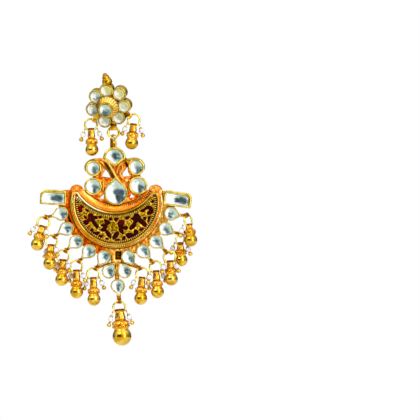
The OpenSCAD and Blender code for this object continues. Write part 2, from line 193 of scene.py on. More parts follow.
class Value:
    """A node's output that takes part in plain arithmetic."""

    def __init__(self, graph, socket):
        self.graph, self.socket = graph, socket

    def __add__(self, other):
        return self.graph.math("ADD", self, other)

    def __sub__(self, other):
        return self.graph.math("SUBTRACT", self, other)

    def __rsub__(self, other):
        return self.graph.math("SUBTRACT", other, self)

    def __mul__(self, other):
        return self.graph.math("MULTIPLY", self, other)

    def __truediv__(self, other):
        return self.graph.math("DIVIDE", self, other)


class Graph:
    """Short names for building a node tree."""

    def __init__(self, tree):
        self.tree = tree
        tree.nodes.clear()

    def put(self, socket, value):
        """Links a value to the socket, or sets the socket's own number or colour."""
        if isinstance(value, Value):
            self.tree.links.new(value.socket, socket)
        elif value is not None:
            socket.default_value = value

    def node(self, kind, inputs=None, out=0, **settings):
        """A new node's output, its inputs given by name or number."""
        n = self.tree.nodes.new("ShaderNode" + kind)
        for key, value in settings.items():
            setattr(n, key, value)
        for key, value in (inputs or {}).items():
            self.put(n.inputs[key], value)
        return Value(self, n.outputs[out]) if n.outputs else None

    def split(self, kind, value):
        """All outputs of a node that takes a value apart."""
        return [Value(self, s) for s in self.node(kind, {0: value}).socket.node.outputs]

    def math(self, op, a, b=None):
        return self.node("Math", {0: a, 1: b}, operation=op)

    def between(self, value, low, high, to_low=0.0, to_high=1.0, smooth=False):
        inputs = {"Value": value, "From Min": low, "From Max": high, "To Min": to_low, "To Max": to_high}
        kind = "SMOOTHSTEP" if smooth else "LINEAR"
        return self.node("MapRange", inputs, "Result", interpolation_type=kind)

    def attribute(self, name, out="Fac"):
        return self.node("Attribute", None, out, attribute_name=name)


class Surface(Graph):
    """One material's nodes round a principled shader."""

    def __init__(self, name):
        self.mat = bpy.data.materials.new(name)
        self.mat.use_nodes = True
        super().__init__(self.mat.node_tree)
        shader = self.node("BsdfPrincipled")
        self.bsdf = shader.socket.node
        self.node("OutputMaterial", {0: shader})
        self.coord = self.node("TexCoord", None, "Object")

    def noise(self, scale, detail=3.0, rough=0.5, vector=None):
        return self.node("TexNoise", {"Scale": scale, "Detail": detail, "Roughness": rough,
                                      "Vector": vector or self.coord}, "Fac")

    def ramp(self, value, stops):
        """Colours along a value, from rows of place, red, green and blue."""
        out = self.node("ValToRGB", {0: value})
        elements = out.socket.node.color_ramp.elements
        while len(elements) < len(stops):
            elements.new(0.5)
        for element, (place, *colour) in zip(elements, stops):
            element.position = place
            element.color = srgb(*colour)
        return out

    def mix(self, fac, a, b):
        return self.node("Mix", {0: fac, 6: a, 7: b}, 2, data_type="RGBA")

    def bump(self, height, distance, strength, normal=None):
        return self.node("Bump", {"Distance": distance * MM, "Strength": strength, "Height": height,
                                  "Normal": normal})

    # ambient occlusion, used to paint shade into crevices
    def painted_crevice_shade(self, distance):
        return self.node("AmbientOcclusion", {"Distance": distance * MM}, "AO", samples=8)

    def set(self, **values):
        for name, value in values.items():
            self.put(self.bsdf.inputs[name.replace("_", " ")], value)


def finish_gold(m, colour, deep, rough, pits, reach, round_edges, grain):
    """The parts that all golds share: painted shade in the crevices, uneven polish and a worn surface."""
    normal = m.node("Bevel", {"Radius": round_edges * MM}, samples=4) if round_edges else None
    # painted shade: the deep colour is mixed in where ambient occlusion finds a crevice
    m.set(Base_Color=m.mix(m.between(m.painted_crevice_shade(reach), 0.25, 0.85), srgb(*deep), colour), Metallic=1.0,
          Roughness=m.between(m.noise(900, 2), 0.3, 0.7, rough * 0.75, rough * 1.35),
          Normal=m.bump(m.noise(grain, 4, 0.6), 0.06, pits, normal))
    return m.mat


def gold(name, light, mid, deep, rough, pits, reach, round_edges=0.0, grain=1400, patch=420):
    """Worn gold, bright on the high places, with painted shade making it deeper and redder in crevices."""
    m = Surface(name)
    tone = m.between(m.noise(patch, 3, 0.55), 0.36, 0.64, smooth=True)
    return finish_gold(m, m.mix(tone, srgb(*mid), srgb(*light)), deep, rough, pits, reach, round_edges, grain)


def shaded_gold(name, stops, deep, rough, pits, reach, vary, grain=1400, patch=480):
    """Gold whose tone follows the mesh's own shade value, from dark to bright; that value carries painted
    light and shade.
    """
    m = Surface(name)
    tone = (m.noise(patch, 3, 0.6) - 0.5) * (vary * 2)
    return finish_gold(m, m.ramp(m.attribute("shade") + tone, stops), deep, rough, pits, reach, 0.0, grain)


def stone_material():
    """Flat uncut stone over foil: pale green-white with a painted dark grey-blue reflection where the mesh
    says.
    """
    m = Surface("stone_foil")
    at = m.attribute("local", "Vector")
    cells = m.node("TexVoronoi", {"Scale": 2.1, "Exponent": 1.2, "Vector": at}, "Color", distance="MINKOWSKI")
    facet, facet2, facet3 = m.split("SeparateColor", cells)
    u, v, _ = m.split("SeparateXYZ", at)
    wave = m.noise(2.4, 2, 0.5, at)
    reflection_distance = m.attribute("flash") + (wave - 0.5) * 3.0 + (facet - 0.5) * 0.8
    # pale green above and to the right, whitened on the left and below by a painted highlight
    side = u * -0.6 + v * -0.34 + (facet2 - 0.5) * 0.4
    pale = m.mix(m.between(side, -0.3, 0.26, smooth=True), srgb(166, 184, 168), srgb(250, 253, 251))
    # painted reflection: dark grey-blue inside the strokes, fading out to the pale colour
    dark = m.mix(m.between(facet3, 0.25, 0.75), srgb(38, 52, 56), srgb(62, 82, 92))
    dark = m.mix(m.between(reflection_distance, 0.5, -1.9, smooth=True), srgb(112, 140, 134), dark)
    colour = m.mix(m.between(reflection_distance, 1.9, -0.9, smooth=True) * m.attribute("depth"), pale, dark)
    warm = m.between(m.attribute("tint"), 0.0, 1.0, 0.0, 0.75) * m.between(side, 0.3, -0.1, 0.15, 1.0)
    m.set(Base_Color=m.mix(warm, colour, srgb(206, 190, 74)), Metallic=0.0, Roughness=0.16, Coat_Weight=0.5,
          Coat_Roughness=0.04, Specular_IOR_Level=0.4, Normal=m.bump(wave, 0.12, 0.25))
    return m.mat


def pearl_material():
    m = Surface("seed_pearl")
    colour = m.mix(m.between(m.noise(700, 2), 0.35, 0.65), srgb(208, 214, 222), srgb(242, 243, 240))
    # painted shade: a darker, browner colour where ambient occlusion finds a crevice
    m.set(Base_Color=m.mix(m.between(m.painted_crevice_shade(0.6), 0.3, 0.9), srgb(168, 160, 130), colour), Roughness=0.22,
          Coat_Weight=0.5, Coat_Roughness=0.08, Sheen_Weight=0.15, Normal=m.bump(m.noise(1500, 2), 0.03, 0.3))
    return m.mat


def maroon_material():
    m = Surface("maroon_glass")
    # painted glints: brighter red where the noise is high
    painted_glints = m.between(m.noise(330, 2), 0.5, 0.76, smooth=True)
    m.set(Base_Color=m.mix(painted_glints, srgb(46, 4, 2), srgb(112, 4, 0)), Roughness=0.3, Coat_Weight=0.03,
          Coat_Roughness=0.1, Specular_IOR_Level=0.04, Normal=m.bump(m.noise(500, 2), 0.08, 0.3))
    return m.mat


# name, light and middle colour, deep colour of the painted crevice shade, roughness, pits, reach of that
# shade, rounded edges
FRAME_GOLD = gold("gold_frame", (244, 178, 80), (228, 142, 36), (130, 62, 4), 0.28, 0.3, 0.6, 0.05, patch=260)
FLOWER_GOLD = gold("gold_flower", (220, 176, 48), (168, 118, 10), (64, 34, 0), 0.3, 0.4, 0.9, 0.09)
BEZEL_GOLD = gold("gold_bezel", (246, 220, 112), (200, 168, 34), (112, 74, 4), 0.24, 0.3, 0.5, grain=1100,
                  patch=560)
WIRE_GOLD = gold("gold_wire", (255, 244, 130), (226, 200, 44), (136, 104, 4), 0.22, 0.2, 0.4)
PETAL_GOLD = gold("gold_petal_rim", (226, 196, 84), (166, 134, 20), (80, 54, 0), 0.26, 0.3, 0.5, grain=1100)
DROP_GOLD = gold("gold_drop", (243, 203, 88), (207, 156, 22), (118, 70, 0), 0.15, 0.14, 0.8)
# colours from dark to bright, from painted shade up to painted highlights: place, red, green, blue
ORANGE = [(0, 44, 18, 0), (0.22, 172, 54, 0), (0.42, 240, 110, 8), (0.62, 255, 160, 50),
          (0.82, 255, 206, 110), (1, 255, 240, 180)]
OLIVE = [(0, 64, 44, 0), (0.3, 134, 112, 0), (0.55, 206, 164, 40), (0.8, 244, 214, 112),
         (1, 255, 248, 200)]
YELLOW = [(0, 50, 24, 0), (0.3, 150, 90, 0), (0.55, 236, 172, 26), (0.8, 255, 214, 92),
          (1, 255, 236, 160)]
AMBER = [(0, 60, 26, 0), (0.25, 150, 74, 0), (0.5, 226, 154, 26), (0.75, 254, 204, 88),
         (1, 255, 240, 170)]
BRONZE = [(0, 40, 20, 0), (0.25, 124, 92, 0), (0.5, 192, 150, 8), (0.75, 240, 186, 70),
          (1, 255, 226, 158)]
# name, colours, deep colour of the painted crevice shade, roughness, pits, reach of that shade, unevenness
COLLAR_GOLD = shaded_gold("gold_collar", YELLOW, (110, 50, 0), 0.24, 0.2, 0.5, 0.2)
NECK_GOLD = shaded_gold("gold_neck", AMBER, (96, 42, 0), 0.2, 0.3, 0.5, 0.34, patch=900)
FRET_GOLD = shaded_gold("gold_fretwork", BRONZE, (70, 44, 0), 0.3, 0.5, 0.35, 0.24, grain=2400, patch=1100)
SKIN_GOLD = shaded_gold("gold_skin", ORANGE, (96, 24, 0), 0.32, 0.6, 0.45, 0.34, patch=700)
BAND_GOLD = shaded_gold("gold_band", ORANGE, (120, 34, 0), 0.32, 0.4, 0.5, 0.2)
RIM_GOLD = shaded_gold("gold_rim", OLIVE, (96, 58, 0), 0.26, 0.4, 0.4, 0.22)
STONE, PEARL, MAROON = stone_material(), pearl_material(), maroon_material()


# Mesh helpers, in millimetres
def ball_mesh(level):
    bm = bmesh.new()
    bmesh.ops.create_icosphere(bm, subdivisions=level, radius=1.0)
    pts = [tuple(v.co) for v in bm.verts]
    faces = [tuple(v.index for v in f.verts) for f in bm.faces]
    bm.free()
    return pts, faces


BALL, BALL_FINE = ball_mesh(2), ball_mesh(3)


class Shape:
    """Points in mm and faces that end as one piece."""

    def __init__(self, at=None):
        self.at = at or Matrix.Identity(4)
        self.v, self.f = [], []

    def add(self, points, faces, at=None):
        n = len(self.v)
        m = at or self.at
        self.v += [m @ Vector(p) for p in points]
        self.f += [tuple(i + n for i in f) for f in faces]

    def loft(self, loops, closed=True, cap_start=False, cap_end=False, at=None):
        """Quads between loops of the same length."""
        n = len(loops[0])
        faces = []
        for k in range(len(loops) - 1):
            for i in range(n if closed else n - 1):
                j = (i + 1) % n
                faces.append((k * n + i, k * n + j, (k + 1) * n + j, (k + 1) * n + i))
        if cap_start:
            faces.append(tuple(reversed(range(n))))
        if cap_end:
            faces.append(tuple(range((len(loops) - 1) * n, len(loops) * n)))
        self.add([p for loop in loops for p in loop], faces, at)

    def tube(self, points, radius, closed=False, sides=8, at=None, flat=1.0, up=(0, 0, 1)):
        """A wire along points; radius is a number or a list; flat squeezes it along up."""
        pts = [Vector(p) for p in points]
        n = len(pts)
        loops = []
        for k, p in enumerate(pts):
            a = pts[(k - 1) % n] if closed or k else pts[0]
            b = pts[(k + 1) % n] if closed or k < n - 1 else pts[-1]
            t = (b - a).normalized()
            side = t.cross(Vector(up))
            if side.length < 1e-6:
                side = t.cross(Vector((1, 0, 0)))
            side.normalize()
            top = side.cross(t).normalized()
            r = radius[k] if isinstance(radius, list) else radius
            turns = (2 * math.pi * j / sides for j in range(sides))
            loops.append([p + side * (r * math.cos(w)) + top * (r * flat * math.sin(w)) for w in turns])
        if closed:
            loops.append(loops[0])
        self.loft(loops, True, not closed, not closed, at)

    def turn(self, profile, steps=32, at=None, wave=None):
        """Revolves (radius, height) points about Z; wave(angle, k) scales the radius."""
        loops = []
        for k, (r, z) in enumerate(profile):
            loop = []
            for j in range(steps):
                a = 2 * math.pi * j / steps
                w = wave(a, k) if wave else 1.0
                loop.append((r * w * math.cos(a), r * w * math.sin(a), z))
            loops.append(loop)
        self.loft(loops, True, profile[0][0] > 1e-4, profile[-1][0] > 1e-4, at)

    def bead(self, centre, r, stretch=(1, 1, 1), spin=0.0, at=None, fine=False):
        pts, faces = BALL_FINE if fine else BALL
        c, s = cosd(spin), sind(spin)
        out = []
        for p in pts:
            x, y, z = (p[k] * r * stretch[k] for k in range(3))
            out.append((centre[0] + c * x - s * y, centre[1] + s * x + c * y, centre[2] + z))
        self.add(out, faces, at)

    def piece(self, name, material, body="pendant", slot="setting_gold", replaces=(), tone=None,
              place=on_pendant, **values):
        """Makes the piece; tone gives a point's shade from its place, values are numbers for each point."""
        mesh = bpy.data.meshes.new(name)
        mesh.from_pydata([p * MM for p in self.v], [], self.f)
        mesh.validate()
        mesh.update()
        for p in mesh.polygons:
            p.use_smooth = True
        if tone:
            values["shade"] = [tone(*place(p)) for p in self.v]
        for key, numbers in values.items():
            vector = isinstance(numbers[0], tuple)
            layer = mesh.attributes.new(key, "FLOAT_VECTOR" if vector else "FLOAT", "POINT")
            layer.data.foreach_set("vector" if vector else "value", np.array(numbers, float).ravel())
        mesh.materials.append(material)
        o = bpy.data.objects.new(name, mesh)
        bpy.context.scene.collection.objects.link(o)
        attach(o, body)
        if replaces:
            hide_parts(*replaces)


def at_level(points, z):
    return [(p[0], p[1], z) for p in points]


def ease(x, low, high):
    """0 at low and 1 at high, smooth between them."""
    t = min(max((x - low) / (high - low), 0.0), 1.0)
    return t * t * (3 - 2 * t)


def smooth_path(points, n=8, closed=False):
    """A Catmull-Rom curve through the points."""
    m = len(points)
    out = []
    for k in range(m if closed else m - 1):
        around = ((k + d) % m if closed else min(max(k + d, 0), m - 1) for d in (-1, 0, 1, 2))
        p0, p1, p2, p3 = (Vector(points[i]) for i in around)
        for t in (j / n for j in range(n)):
            out.append(tuple(0.5 * ((2 * p1) + (p2 - p0) * t + (2 * p0 - 5 * p1 + 4 * p2 - p3) * t * t
                                    + (3 * p1 - p0 - 3 * p2 + p3) * t ** 3)))
    return out if closed else out + [tuple(points[-1])]


def stroke_distance(x, y, strokes):
    """Distance to the nearest stroke's edge, less than zero inside."""
    best = 9.0
    for x0, y0, x1, y1, r in strokes:
        dx, dy = x1 - x0, y1 - y0
        t = ((x - x0) * dx + (y - y0) * dy) / (dx * dx + dy * dy)
        t = min(max(t, 0.0), 1.0)
        best = min(best, math.hypot(x - x0 - dx * t, y - y0 - dy * t) - r)
    return best


# Outlines, as distances from a centre
def circle_reach(r):
    return lambda a, inset: r - inset


def pear_reach(r, reach, direction, blunt=0.25):
    half = math.asin(r / reach) - math.radians(2)

    def f(a, inset):
        d = abs((a - direction + 180) % 360 - 180)
        line = reach * math.sin(half) - inset
        best = r - inset
        turn = math.pi / 2 - half - math.radians(d)
        if turn > 0:
            best = max(best, line / math.cos(turn))
        return min(best, line / math.sin(half) - blunt * (1 - min(d / 14, 1)) ** 2)

    return f


def top_reach(a, inset):
    """A circle with a blunt point below."""
    best = TOP_R - inset
    for s in (-1, 1):
        down = (s * 3 * cosd(a) - 4 * sind(a)) / 5
        if down > 1e-6:
            best = min(best, (2.048 - 0.96 * inset) / down)
    return best


def box_reach(a_half, b_half, turn, corners):
    """A rectangle with rounded corners; corners are radii, anticlockwise from the upper right."""

    def f(angle, inset):
        u = Vector((cosd(angle - turn), sind(angle - turn)))
        left, right = -a_half + inset[0], a_half - inset[1]
        low, high = -b_half + inset[2], b_half - inset[3]
        t = 1e9
        if abs(u.x) > 1e-9:
            t = min(t, (right if u.x > 0 else left) / u.x)
        if abs(u.y) > 1e-9:
            t = min(t, (high if u.y > 0 else low) / u.y)
        p = u * t
        k = (0 if u.x > 0 else 1) if u.y > 0 else (2 if u.x < 0 else 3)
        r = corners[k]
        cx = (right - r) if k in (0, 3) else (left + r)
        cy = (high - r) if k in (0, 1) else (low + r)
        inside_x = p.x > cx if k in (0, 3) else p.x < cx
        inside_y = p.y > cy if k in (0, 1) else p.y < cy
        if inside_x and inside_y:
            # where the ray meets the corner's circle
            b = u.x * cx + u.y * cy
            disc = b * b - (cx * cx + cy * cy - r * r)
            if disc > 0:
                t = b + math.sqrt(disc)
        return t

    return f


def outline(centre, reach, inset, n, start):
    return [polar(reach(a, inset), a, centre) for a in (start + 360 * k / n for k in range(n))]


def grown(points, centre, by):
    """The outline moved outwards by a small distance, along lines from its centre."""
    out = []
    for x, y in points:
        dx, dy = x - centre[0], y - centre[1]
        k = 1 + by / math.hypot(dx, dy)
        out.append((centre[0] + dx * k, centre[1] + dy * k))
    return out


def bezel(shape, centre, outer, inner, low, top, proud, at, skirt):
    """A rolled rim from the outer to the inner outline, down to low outside."""
    walls = ((skirt + 0.02, low), (skirt, low + (top - low) * 0.6), (skirt + 0.03, top - 0.12),
             (skirt - 0.02, top))
    loops = [at_level(grown(outer, centre, by), z) for by, z in walls]
    for t, rise in ((0.3, 1), (0.62, 0.9), (0.95, 0.2)):
        mixed = [(p[0] + (q[0] - p[0]) * t, p[1] + (q[1] - p[1]) * t) for p, q in zip(outer, inner)]
        loops.append(at_level(mixed, top + proud * rise))
    loops.append(at_level(grown(inner, centre, -0.06), top - 0.2))
    shape.loft(loops, at=at)


# part of the outline and of the rise at each loop of a stone, from its edge inwards
STONE_RINGS = [
    (1, 0), (0.965, 0.42), (0.9, 0.7), (0.82, 0.9), (0.74, 0.98), (0.66, 1), (0.58, 1.02), (0.5, 1.03),
    (0.42, 1.04), (0.34, 1.05), (0.26, 1.05), (0.18, 1.06), (0.09, 1.06),
]

# Where each stone's painted dark reflection lies in the front view: strokes as x, y to x, y with a radius, in
# view units
PAINTED_REFLECTIONS = {
    "top": [(114.5, 154.5, 115.5, 158.2, 2.5), (117, 154, 118.6, 154.8, 1.7),
            (117.5, 158.6, 118.8, 158.4, 1.6)],
    "upper_left": [(94.4, 168.6, 94.8, 172, 2), (96.2, 168.2, 97.4, 168.8, 1.2)],
    "upper_right": [(137.5, 167.5, 137.8, 171.6, 1.7), (140, 168.6, 139.8, 171.4, 1.7)],
    "lower_left": [(94.2, 187, 96.8, 187.2, 1.9), (94.6, 188.6, 94.6, 191.4, 1.7)],
    "lower_right": [(140, 186.5, 142.6, 187.4, 1.9), (139.6, 188, 140.4, 191.4, 1.8)],
    "teardrop": [(117.2, 192, 122, 193, 3.5), (119.4, 196.6, 121.8, 198.4, 3.9),
                 (117.6, 197, 119.4, 201, 2.4)],
    "baguette_left": [(53, 198.4, 61, 199, 2.6), (56, 197, 60, 197.6, 2.4)],
    "baguette_right": [(177, 200, 185, 201, 3), (181, 199, 186, 201.4, 2.6)],
    1: [(62.5, 214, 66, 213.8, 1.7), (63.5, 216, 63.6, 217.4, 1.4)],
    2: [(66.8, 228, 69.5, 228, 1.9), (67.5, 230, 67.8, 231.4, 1.5)],
    3: [(76.5, 240.5, 80, 240.5, 2), (77, 243, 77.6, 244, 1.6)],
    4: [(89.3, 249.5, 90.4, 253, 1.7), (92, 252.5, 94, 251.2, 1.3), (89.5, 254, 89.6, 255, 1.6)],
    5: [(105.5, 255.5, 107.5, 255.2, 1.7), (105, 257.5, 106.2, 258.6, 1.7)],
    6: [(130.5, 258, 132.5, 258, 1.9), (131.5, 260, 133, 260.6, 1.7)],
    7: [(144, 249.5, 145.6, 249.6, 1.7), (145, 251.5, 146.2, 253.8, 1.5)],
    8: [(155.7, 241, 158, 241.5, 1.9), (157, 243, 158, 243.8, 1.6)],
    9: [(165, 229, 167, 230, 1.7), (167, 231.4, 168, 232, 1.5)],
    10: [(169.8, 213.7, 172, 213.7, 1.6), (169.8, 216, 170.8, 216.8, 1.5)],
    11: [(109.5, 270.5, 111.5, 271, 2), (110, 273, 111, 274.2, 1.7)],
    12: [(125.8, 270, 128.5, 270, 2), (126.5, 272.5, 128, 273.2, 1.6)],
    13: [(118, 285.5, 119, 285.5, 1.6), (118.3, 288, 118.8, 289.8, 1.4)],
    "petal_1": [(107.6, 89, 108, 95.5, 0.9)],
    "petal_2": [(118.5, 96.5, 121, 96, 1.2)],
    "petal_3": [(122.5, 107.5, 126.5, 108, 1.8)],
    "petal_4": [(119, 116.5, 121.5, 119, 1.5)],
    "petal_5": [(103, 122, 107, 121.5, 1.5)],
    "petal_6": [(93.6, 112.8, 95.2, 113, 1.6)],
    "petal_7": [(97.2, 98.6, 100, 98.4, 1.4), (94.6, 99.2, 96, 99.6, 0.9)],
    "centre": [(104.5, 113.2, 107.6, 112.8, 2), (105.5, 114.8, 107, 115.2, 1.6),
               (108.6, 112.2, 109.2, 112.4, 1.3)],
}


def stone(name, centre, inner, low, rise, at, body, replaces, seed, flash, tint=0.0, scale=None, spin=0.0,
          depth=1.0):
    """A flat cut stone: a narrow bevel, then a broad table with slight waves."""
    s = Shape(at)
    wob = random.Random(seed)
    facets = [wob.uniform(0.8, 1.08) for _ in range(9)]
    shift = (wob.uniform(-0.04, 0.04), wob.uniform(-0.04, 0.04))
    loops = [at_level(inner, low - 0.5)]
    n = len(inner)
    for k, (q, h) in enumerate(STONE_RINGS):
        loop = []
        for j, (x, y) in enumerate(inner):
            g = facets[9 * j // n] if 0 < k < 4 else 1.0
            z = low + rise * h * (0.94 + 0.06 * g)
            if k > 3:
                z += 0.05 * noise.noise(Vector((x * 0.8 + seed, y * 0.8, 1.3)))
            loop.append((centre[0] + (x - centre[0]) * q + shift[0] * (1 - q),
                         centre[1] + (y - centre[1]) * q + shift[1] * (1 - q), z))
        loops.append(loop)
    s.loft(loops)
    middle = (centre[0] + shift[0], centre[1] + shift[1], low + rise * STONE_RINGS[-1][1])
    s.add(loops[-1] + [middle], [(j, (j + 1) % n, n) for j in range(n)])
    su, sv = scale or (sum(math.dist(p, centre) for p in inner) / n,) * 2
    c, t = cosd(spin), sind(spin)
    back = at.inverted()
    local = []
    for p in s.v:
        q = back @ p
        dx, dy = q.x - centre[0], q.y - centre[1]
        local.append(((c * dx + t * dy) / su, (-t * dx + c * dy) / sv, seed * 1.7))
    s.piece(name, STONE, body, "stone", replaces, local=local, tint=[tint] * len(local),
            depth=[depth] * len(local), flash=[stroke_distance(*view_of(p), PAINTED_REFLECTIONS[flash]) for p in s.v])


def setting(rims, name, replaces, centre, reach, inset, n, start, low, top, seed, flash, proud=0.14,
            rise=0.45, skirt=0.05, sunk=0.15, at=PENDANT, body="pendant", reach_in=None, cut_points=None,
            **looks):
    """A bezel with n points round it and the stone in it, which may have its own number of points."""
    outer = outline(centre, reach, (0, 0, 0, 0) if isinstance(inset, tuple) else 0.0, n, start)
    inner = outline(centre, reach_in or reach, inset, n, start)
    bezel(rims, centre, outer, inner, low, top, proud, at, skirt)
    if cut_points:
        inner = outline(centre, reach, inset, cut_points, start)
    stone(name, centre, inner, top - sunk, rise, at, body, replaces, seed, flash, **looks)


# Stones and their bezels on the pendant
settings, pear_rims = Shape(PENDANT), Shape(PENDANT)
for i in range(1, 14):
    x, y, a = pear_place(i)
    setting(pear_rims, f"pear_cut_{i}", [f"pear_stone_{i}"], (x, y), pear_reach(PEAR_R, PEAR_REACH, a), 0.3,
            72, a, PLATE, PEAR_TOP, 20 + i, i, proud=0.12, rise=0.42, skirt=0.02, sunk=0.12, cut_points=48,
            scale=(1.75, 1.75))
pear_rims.piece("pear_bezels", BEZEL_GOLD)
for k, (name, x, y, r) in enumerate(ROUNDS):
    setting(settings, f"round_cut_{name}", [f"stone_{name}"], (x, y), circle_reach(r), 0.48, 72, 0, PLATE,
            BIG_TOP, 3 + 5 * k, name)
setting(settings, "top_cut", ["stone_top"], TOP_C, top_reach, 0.64, 96, -90, PLATE, BIG_TOP, 11, "top",
        rise=0.5)
setting(settings, "teardrop_cut", ["stone_teardrop"], TEAR_C, pear_reach(TEAR_R, TEAR_REACH, TEAR_WAY, 0.3),
        0.36, 96, TEAR_WAY, PLATE, BIG_TOP, 17, "teardrop", rise=0.55, scale=(3.1, 3.1))
# corner radii outside and inside, and the rim's width at the left, right, lower and upper side
BAGUETTE_RIMS = {
    "left": ([0.35, 1.7, 0.35, 0.35], [0.3, 1.2, 0.3, 0.3], (0.45, 0.4, 0.4, 0.95)),
    "right": ([1.7, 0.35, 0.35, 0.35], [1.2, 0.3, 0.3, 0.5], (0.4, 0.8, 0.45, 0.8)),
}
for k, (end, x, y, a_half, b_half, turn) in enumerate(BAGUETTES):
    corners, corners_in, widths = BAGUETTE_RIMS[end]
    outside, within = (box_reach(a_half, b_half, turn, c) for c in (corners, corners_in))
    setting(settings, f"baguette_cut_{end}", [f"baguette_{end}"], (x, y), outside, widths, 144, turn, PLATE,
            BIG_TOP, 31 + k, f"baguette_{end}", proud=0.1, rise=0.4, reach_in=within, scale=(4.0, 1.55),
            spin=turn)
settings.piece("setting_bezels", BEZEL_GOLD)

# Crescent: band, rims, borders
TIP = 58  # half the angle of the panel's upper edge
PITCH = 2.7  # degrees from one tooth or bead to the next
RIM_ENDS = (-192.5, 12.5)


def border(s, r, z, flare=0.9):
    """Point along the panel's upper edge; s runs from -1 to 1 and the ends turn outwards."""
    r += flare * max(0.0, (abs(s) - 0.84) / 0.16) ** 2
    return (*polar(r, -90 + TIP * s, PANEL_TOP), z)


def distance(x, y, centre):
    return math.hypot(x - centre[0], y - centre[1])


def bearing(x, y, centre):
    """Degrees round a centre, from straight below it towards the right."""
    return math.degrees(math.atan2(x - centre[0], centre[1] - y))


def tick(x, y, centre):
    """A wave round a centre, one crest for every pitch."""
    return math.cos(2 * math.pi * bearing(x, y, centre) / PITCH)


def comb_at(x, y):
    """How deep the comb cuts the band at a place, strongly and faintly, and the comb's own wave there."""
    a = bearing(x, y, BAND_TOP)
    off = abs(distance(x, y, BAND_TOP) - 12.1 - 0.022 * max(a - 12.0, 0.0))
    zone = ease(off, 0.42, 0.3)
    deep = ease(a, 12.0, 20.0) * ease(a, 56.0, 50.0)
    return zone * deep, zone * ease(a, -34.0, -20.0) * (1 - deep), tick(x, y, BAND_TOP)


BAND_LENGTH, BAND_WIDTH = 640, 18  # the band's faces along and across
band = Shape(PENDANT)
loops = []
for q in range(BAND_WIDTH + 1):
    v = q / BAND_WIDTH
    loop = []
    for k in range(BAND_LENGTH + 1):
        s = -1 + 2 * k / BAND_LENGTH
        low = Vector(border(s, 13.3, 0.0))
        p = low.lerp(Vector((*polar(BAND_TOP_R + 0.02, -90 + 52 * s, BAND_TOP), 0.0)), v)
        z = 0.72 + 0.46 * math.sin(math.pi * min(v / 0.9, 1.0)) ** 0.8 * (1 - 0.35 * abs(s) ** 3)
        deep, faint, wave = comb_at(p.x, p.y)
        z += 0.03 * math.sin(k * 0.65) * math.sin(math.pi * v) + (0.1 * deep + 0.05 * faint) * (1 + wave)
        loop.append((p.x, p.y, z if 0 < q < BAND_WIDTH else (0.6 if q == 0 else PLATE)))
    loops.append(loop)
band.loft(loops, False)


# a painted highlight along the band
BAND_PAINTED_HIGHLIGHT = [(84, 191.6, 92, 198.4, 0.8)]  # a stroke in view units


def band_tone(x, y):
    t = 0.65 - 0.1 * ease(x, -6.0, -1.0) - 0.06 * ease(x, 2.0, 7.5)
    t -= 0.26 * ease(distance(x, y, PANEL_TOP), 12.2, 11.2) * ease(abs(x + 0.6), 5.5, 2.0)
    # painted highlight along the stroke
    t += 0.16 * ease(stroke_distance(*to_view(x, y), BAND_PAINTED_HIGHLIGHT), 1.0, -0.6)
    deep, faint, wave = comb_at(x, y)
    t += 0.04 * math.sin(4.1 * x) * math.cos(3.3 * y)
    # the comb: painted shade in the gaps between its teeth, lighter on the teeth
    return t + deep * (0.6 * wave - 0.36) + faint * (0.3 * wave + 0.06)


band.piece("crescent_band", BAND_GOLD, tone=band_tone)


HORN_R = 2.16


def horn_reach(hx, hy, a):
    """How far the horn's disc reaches from its centre before the panel begins."""
    r = HORN_R
    while r > 0.4:
        x, y = polar(r, a, (hx, hy))
        on_panel = distance(x, y, PANEL_TOP) >= 13.5 + 0.7 * (abs(hx) > 11.5)
        if not on_panel or y > -18.5 or distance(x, y, CRESCENT) > 12.6:
            break
        r -= 0.04
    return r


HORN_STEPS, SPIRAL_STEPS = 96, 59
# radius and height of the horn's disc, from its foot to its middle
HORN = [(2.14, PLATE), (HORN_R, 0.5), (2.08, 0.72), (1.8, 0.86), (1.3, 0.9), (0.7, 0.86), (0.05, 0.84)]
horn = Shape(PENDANT)
for side, (hx, hy) in zip((-1, 1), HORNS):
    ways = [360 * j / HORN_STEPS for j in range(HORN_STEPS)]
    reaches = [horn_reach(hx, hy, a) for a in ways]
    loops = []
    for r, z in HORN:
        ripple = 0.05 * (0.6 < z < 0.89)
        loops.append([(*polar(min(r, reach), a, (hx, hy)), z + ripple * cosd(15 * a))
                      for a, reach in zip(ways, reaches)])
    horn.loft(loops, True, False, True)
    spiral = []
    for t in (k / SPIRAL_STEPS for k in range(SPIRAL_STEPS + 1)):
        a = 100 - side * (400 * t - 60)
        r = min(1.78 * (1 - t) ** 0.8 + 0.1, horn_reach(hx, hy, a) - 0.1)
        spiral.append((*polar(r, a, (hx, hy)), 0.94))
    horn.tube(spiral, [0.26 - 0.08 * k / SPIRAL_STEPS for k in range(SPIRAL_STEPS + 1)], sides=10)
    for k in range(9):
        a = 25 + side * 20 * k + (0 if side > 0 else 130)
        if horn_reach(hx, hy, a) > 2.0:
            horn.bead((*polar(1.98, a, (hx, hy)), 0.78), 0.24)


def horn_tone(x, y):
    t = 0.66 + 0.2 * math.sin(3.4 * x + 1.0) * math.cos(2.6 * y) + (0.02 if x > 0 else -0.09)
    # painted shade: darker towards the edge of each horn's disc
    return t - 0.3 * ease(distance(x, y, HORNS[x > 0]), 1.9, 2.15)


horn.piece("horn_scrolls", BAND_GOLD, tone=horn_tone)


def turn_at(x, y):
    """Way round the crescent, from -1 at the left horn to 1 at the right one."""
    return bearing(x, y, CRESCENT) / 100


def crescent_sweep(shape, profile, n, lift=0.0):
    shape.loft([[(x, y, z + lift * tick(x + 0.25 * r, y, CRESCENT) * (z > 0.6))
                 for x, y in sweep(CRESCENT, r, *RIM_ENDS, n)] for r, z in profile], False)


